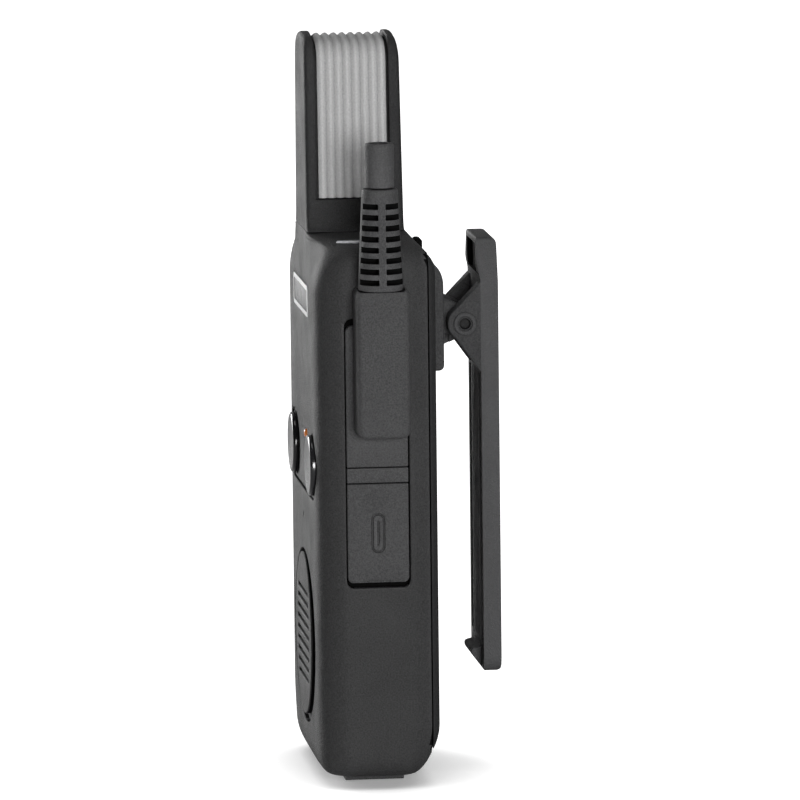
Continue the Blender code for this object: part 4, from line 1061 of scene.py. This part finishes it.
def make_pin():
    pin = turned("hinge_pin", [
        (0.02, -10.6), (0.8, -10.6), (1.05, -10.45), (1.14, -10.25), (1.14, 10.25), (1.05, 10.45),
        (0.8, 10.6), (0.02, 10.6)], (0, PIVOT_Y, PIVOT_Z), "X", 40)
    piece(pin, "dark", "rear_pack", ["clip_pin"])
    # painted shade: the pin's ends get the black seal material, as if sunk in shadow
    darken(pin, lambda p: abs(p.x) > 10.3, "seal_and_shade")


def make_spring():
    """Coil round the pin between the lugs."""
    turns, per_turn, radius, wire, length, sides = 6, 28, 1.95, 0.32, 5.2, 10
    path = []
    count = turns * per_turn
    for k in range(count + 1):
        t = 2 * math.pi * k / per_turn
        path.append(Vector((-length / 2 + length * k / count, PIVOT_Y + radius * math.cos(t),
                            PIVOT_Z + radius * math.sin(t))))
    rings = []
    for k, p in enumerate(path):
        ahead = path[min(k + 1, count)] - path[max(k - 1, 0)]
        side = Vector((0, p.y - PIVOT_Y, p.z - PIVOT_Z)).normalized()
        other = ahead.normalized().cross(side)
        ring = []
        for s in range(sides):
            a = 2 * math.pi * s / sides
            ring.append((p + side * wire * math.cos(a) + other * wire * math.sin(a)) * MM)
        rings.append(ring)
    spring = loft("hinge_spring", rings)
    piece(spring, "steel", "rear_pack", ["clip_spring"], 60)


# ---- pieces kept from the frame ----
INNER = {
    "board": ("main_board", "antenna_element"),
    "shield": ("rf_shield", "dome_switch_left", "dome_switch_right", "microphone"),
    "dark": ("speaker_driver",),
    "seal_and_shade": ("speaker_seal", "case_seal"),
    "gloss": ("battery_terminal", "battery_contacts", "accessory_socket", "plug_contacts",
              "ptt_switch"),
    "wrap": ("battery_cell",),
    "steel": ("usb_receptacle",),
}


def dress_frame():
    """Give each inner piece of the frame its material."""
    for look, nodes in INNER.items():
        for node in nodes:
            NODES[node].data.materials.clear()
            NODES[node].data.materials.append(M[look])


# ---- studio (metres) ----
BACKDROP = (-0.85, -0.3, 0.35, 0.06)  # x direction of full glow, of none, glow, glow elsewhere
FLOOR_DROP = 0.0002  # the floor lies this far below the foot
FLOOR_GLOW = 1.0
FLOOR_SHADE = 0.2
SHADOW_REACH = 0.04


def area_light(name, place, target, size, power):
    data = bpy.data.lights.new(name, "AREA")
    data.shape = "RECTANGLE"
    data.size, data.size_y = size
    data.energy = power
    obj = bpy.data.objects.new(name, data)
    obj.location = place
    aim = Vector(target) - Vector(place)
    obj.rotation_euler = aim.to_track_quat("-Z", "Y").to_euler()
    bpy.context.scene.collection.objects.link(obj)


def camera_only(tree, seen, felt):
    """Value that is one number to the camera and another number or socket to every other ray."""
    path = tree.nodes.new("ShaderNodeLightPath")
    pick = tree.nodes.new("ShaderNodeMix")
    tree.links.new(path.outputs["Is Camera Ray"], pick.inputs["Factor"])
    if hasattr(felt, "links"):
        tree.links.new(felt, pick.inputs["A"])
    else:
        pick.inputs["A"].default_value = felt
    pick.inputs["B"].default_value = seen
    return pick.outputs["Result"]


def make_world():
    """White behind the radio, dim all round, so only the lamps and the backdrop shape it."""
    world = bpy.data.worlds.new("studio")
    world.use_nodes = True
    tree = world.node_tree
    coords = tree.nodes.new("ShaderNodeTexCoord")
    split = tree.nodes.new("ShaderNodeSeparateXYZ")
    glow = tree.nodes.new("ShaderNodeMapRange")
    tree.links.new(coords.outputs["Generated"], split.inputs["Vector"])
    tree.links.new(split.outputs["X"], glow.inputs["Value"])
    for key, value in zip(("From Min", "From Max", "To Min", "To Max"), BACKDROP):
        glow.inputs[key].default_value = value
    background = tree.nodes["Background"]
    background.inputs["Color"].default_value = (1, 1, 1, 1)
    tree.links.new(camera_only(tree, 1.05, glow.outputs["Result"]), background.inputs["Strength"])
    bpy.context.scene.world = world


def make_floor():
    """Pale floor that glows to the camera, with a painted shadow where the radio is near it."""
    bpy.ops.mesh.primitive_plane_add(size=6.0, location=(0, 0, -FLOOR_DROP))
    floor = bpy.context.object
    floor.name = "studio_floor"
    s = Shader("floor_white", grey(0.85), 0.9)
    s.feed("Base Color", s.ramp(s.noise(0.004, 3.0), [(0.3, grey(0.84)), (0.7, grey(0.86))]))
    near = s.node("ShaderNodeAmbientOcclusion", samples=12)
    near.inputs["Distance"].default_value = SHADOW_REACH
    fade = [(0.3, grey(FLOOR_SHADE)), (0.75, grey(0.82)), (0.9, grey(0.96)),
            (1.0, grey(FLOOR_GLOW))]
    # painted shadow: occlusion dims the floor's glow near the radio
    s.feed("Emission Color", s.ramp(near.outputs["AO"], fade))
    s.feed("Emission Strength", camera_only(s.tree, 1.0, 0.0))
    floor.data.materials.append(s.mat)


def make_studio():
    make_floor()
    make_world()
    area_light("key", (1.5, 0.12, 0.24), (0, 0, 0.08), (0.55, 0.45), 21.0)
    area_light("front", (-1.3, -0.8, 0.4), (0, 0, 0.08), (0.5, 0.7), 17.0)
    area_light("top", (0.1, 0.1, 1.1), (0, 0, 0.0), (0.5, 0.5), 2.0)
    bpy.context.scene.view_settings.view_transform = "Standard"


def make_camera():
    """Long lens on the plug side, turned a little to the front, raised and rolled slightly."""
    turn, lift, roll = math.radians(6.4), math.radians(7.8), math.radians(0.65)
    distance, side, rise = 1.904, 0.00813, 0.07706
    back = Vector((math.cos(turn) * math.cos(lift), -math.sin(turn) * math.cos(lift),
                   math.sin(lift)))
    right = Vector((math.sin(turn), math.cos(turn), 0.0))
    up = back.cross(right)
    place = back * distance + right * side + up * rise
    x_axis = right * math.cos(roll) - up * math.sin(roll)
    y_axis = right * math.sin(roll) + up * math.cos(roll)
    data = bpy.data.cameras.new("photo_camera")
    data.lens = 405.0
    data.sensor_width = 36.0
    data.clip_start = 0.05
    cam = bpy.data.objects.new("photo_camera", data)
    basis = Matrix((x_axis, y_axis, back)).transposed()
    cam.matrix_world = Matrix.Translation(place) @ basis.to_4x4()
    bpy.context.scene.collection.objects.link(cam)
    bpy.context.scene.camera = cam


make_camera()
make_studio()
make_case()
make_cover()
make_mast()
make_band()
make_panel()
make_button("left", -1)
make_button("right", 1)
make_call_lamp()
make_badge()
make_status_light()
make_foot()
make_door()
make_plug()
make_relief()
make_cable_end()
make_key()
make_clip_base()
make_latch()
make_lever()
make_pin()
make_spring()
dress_frame()
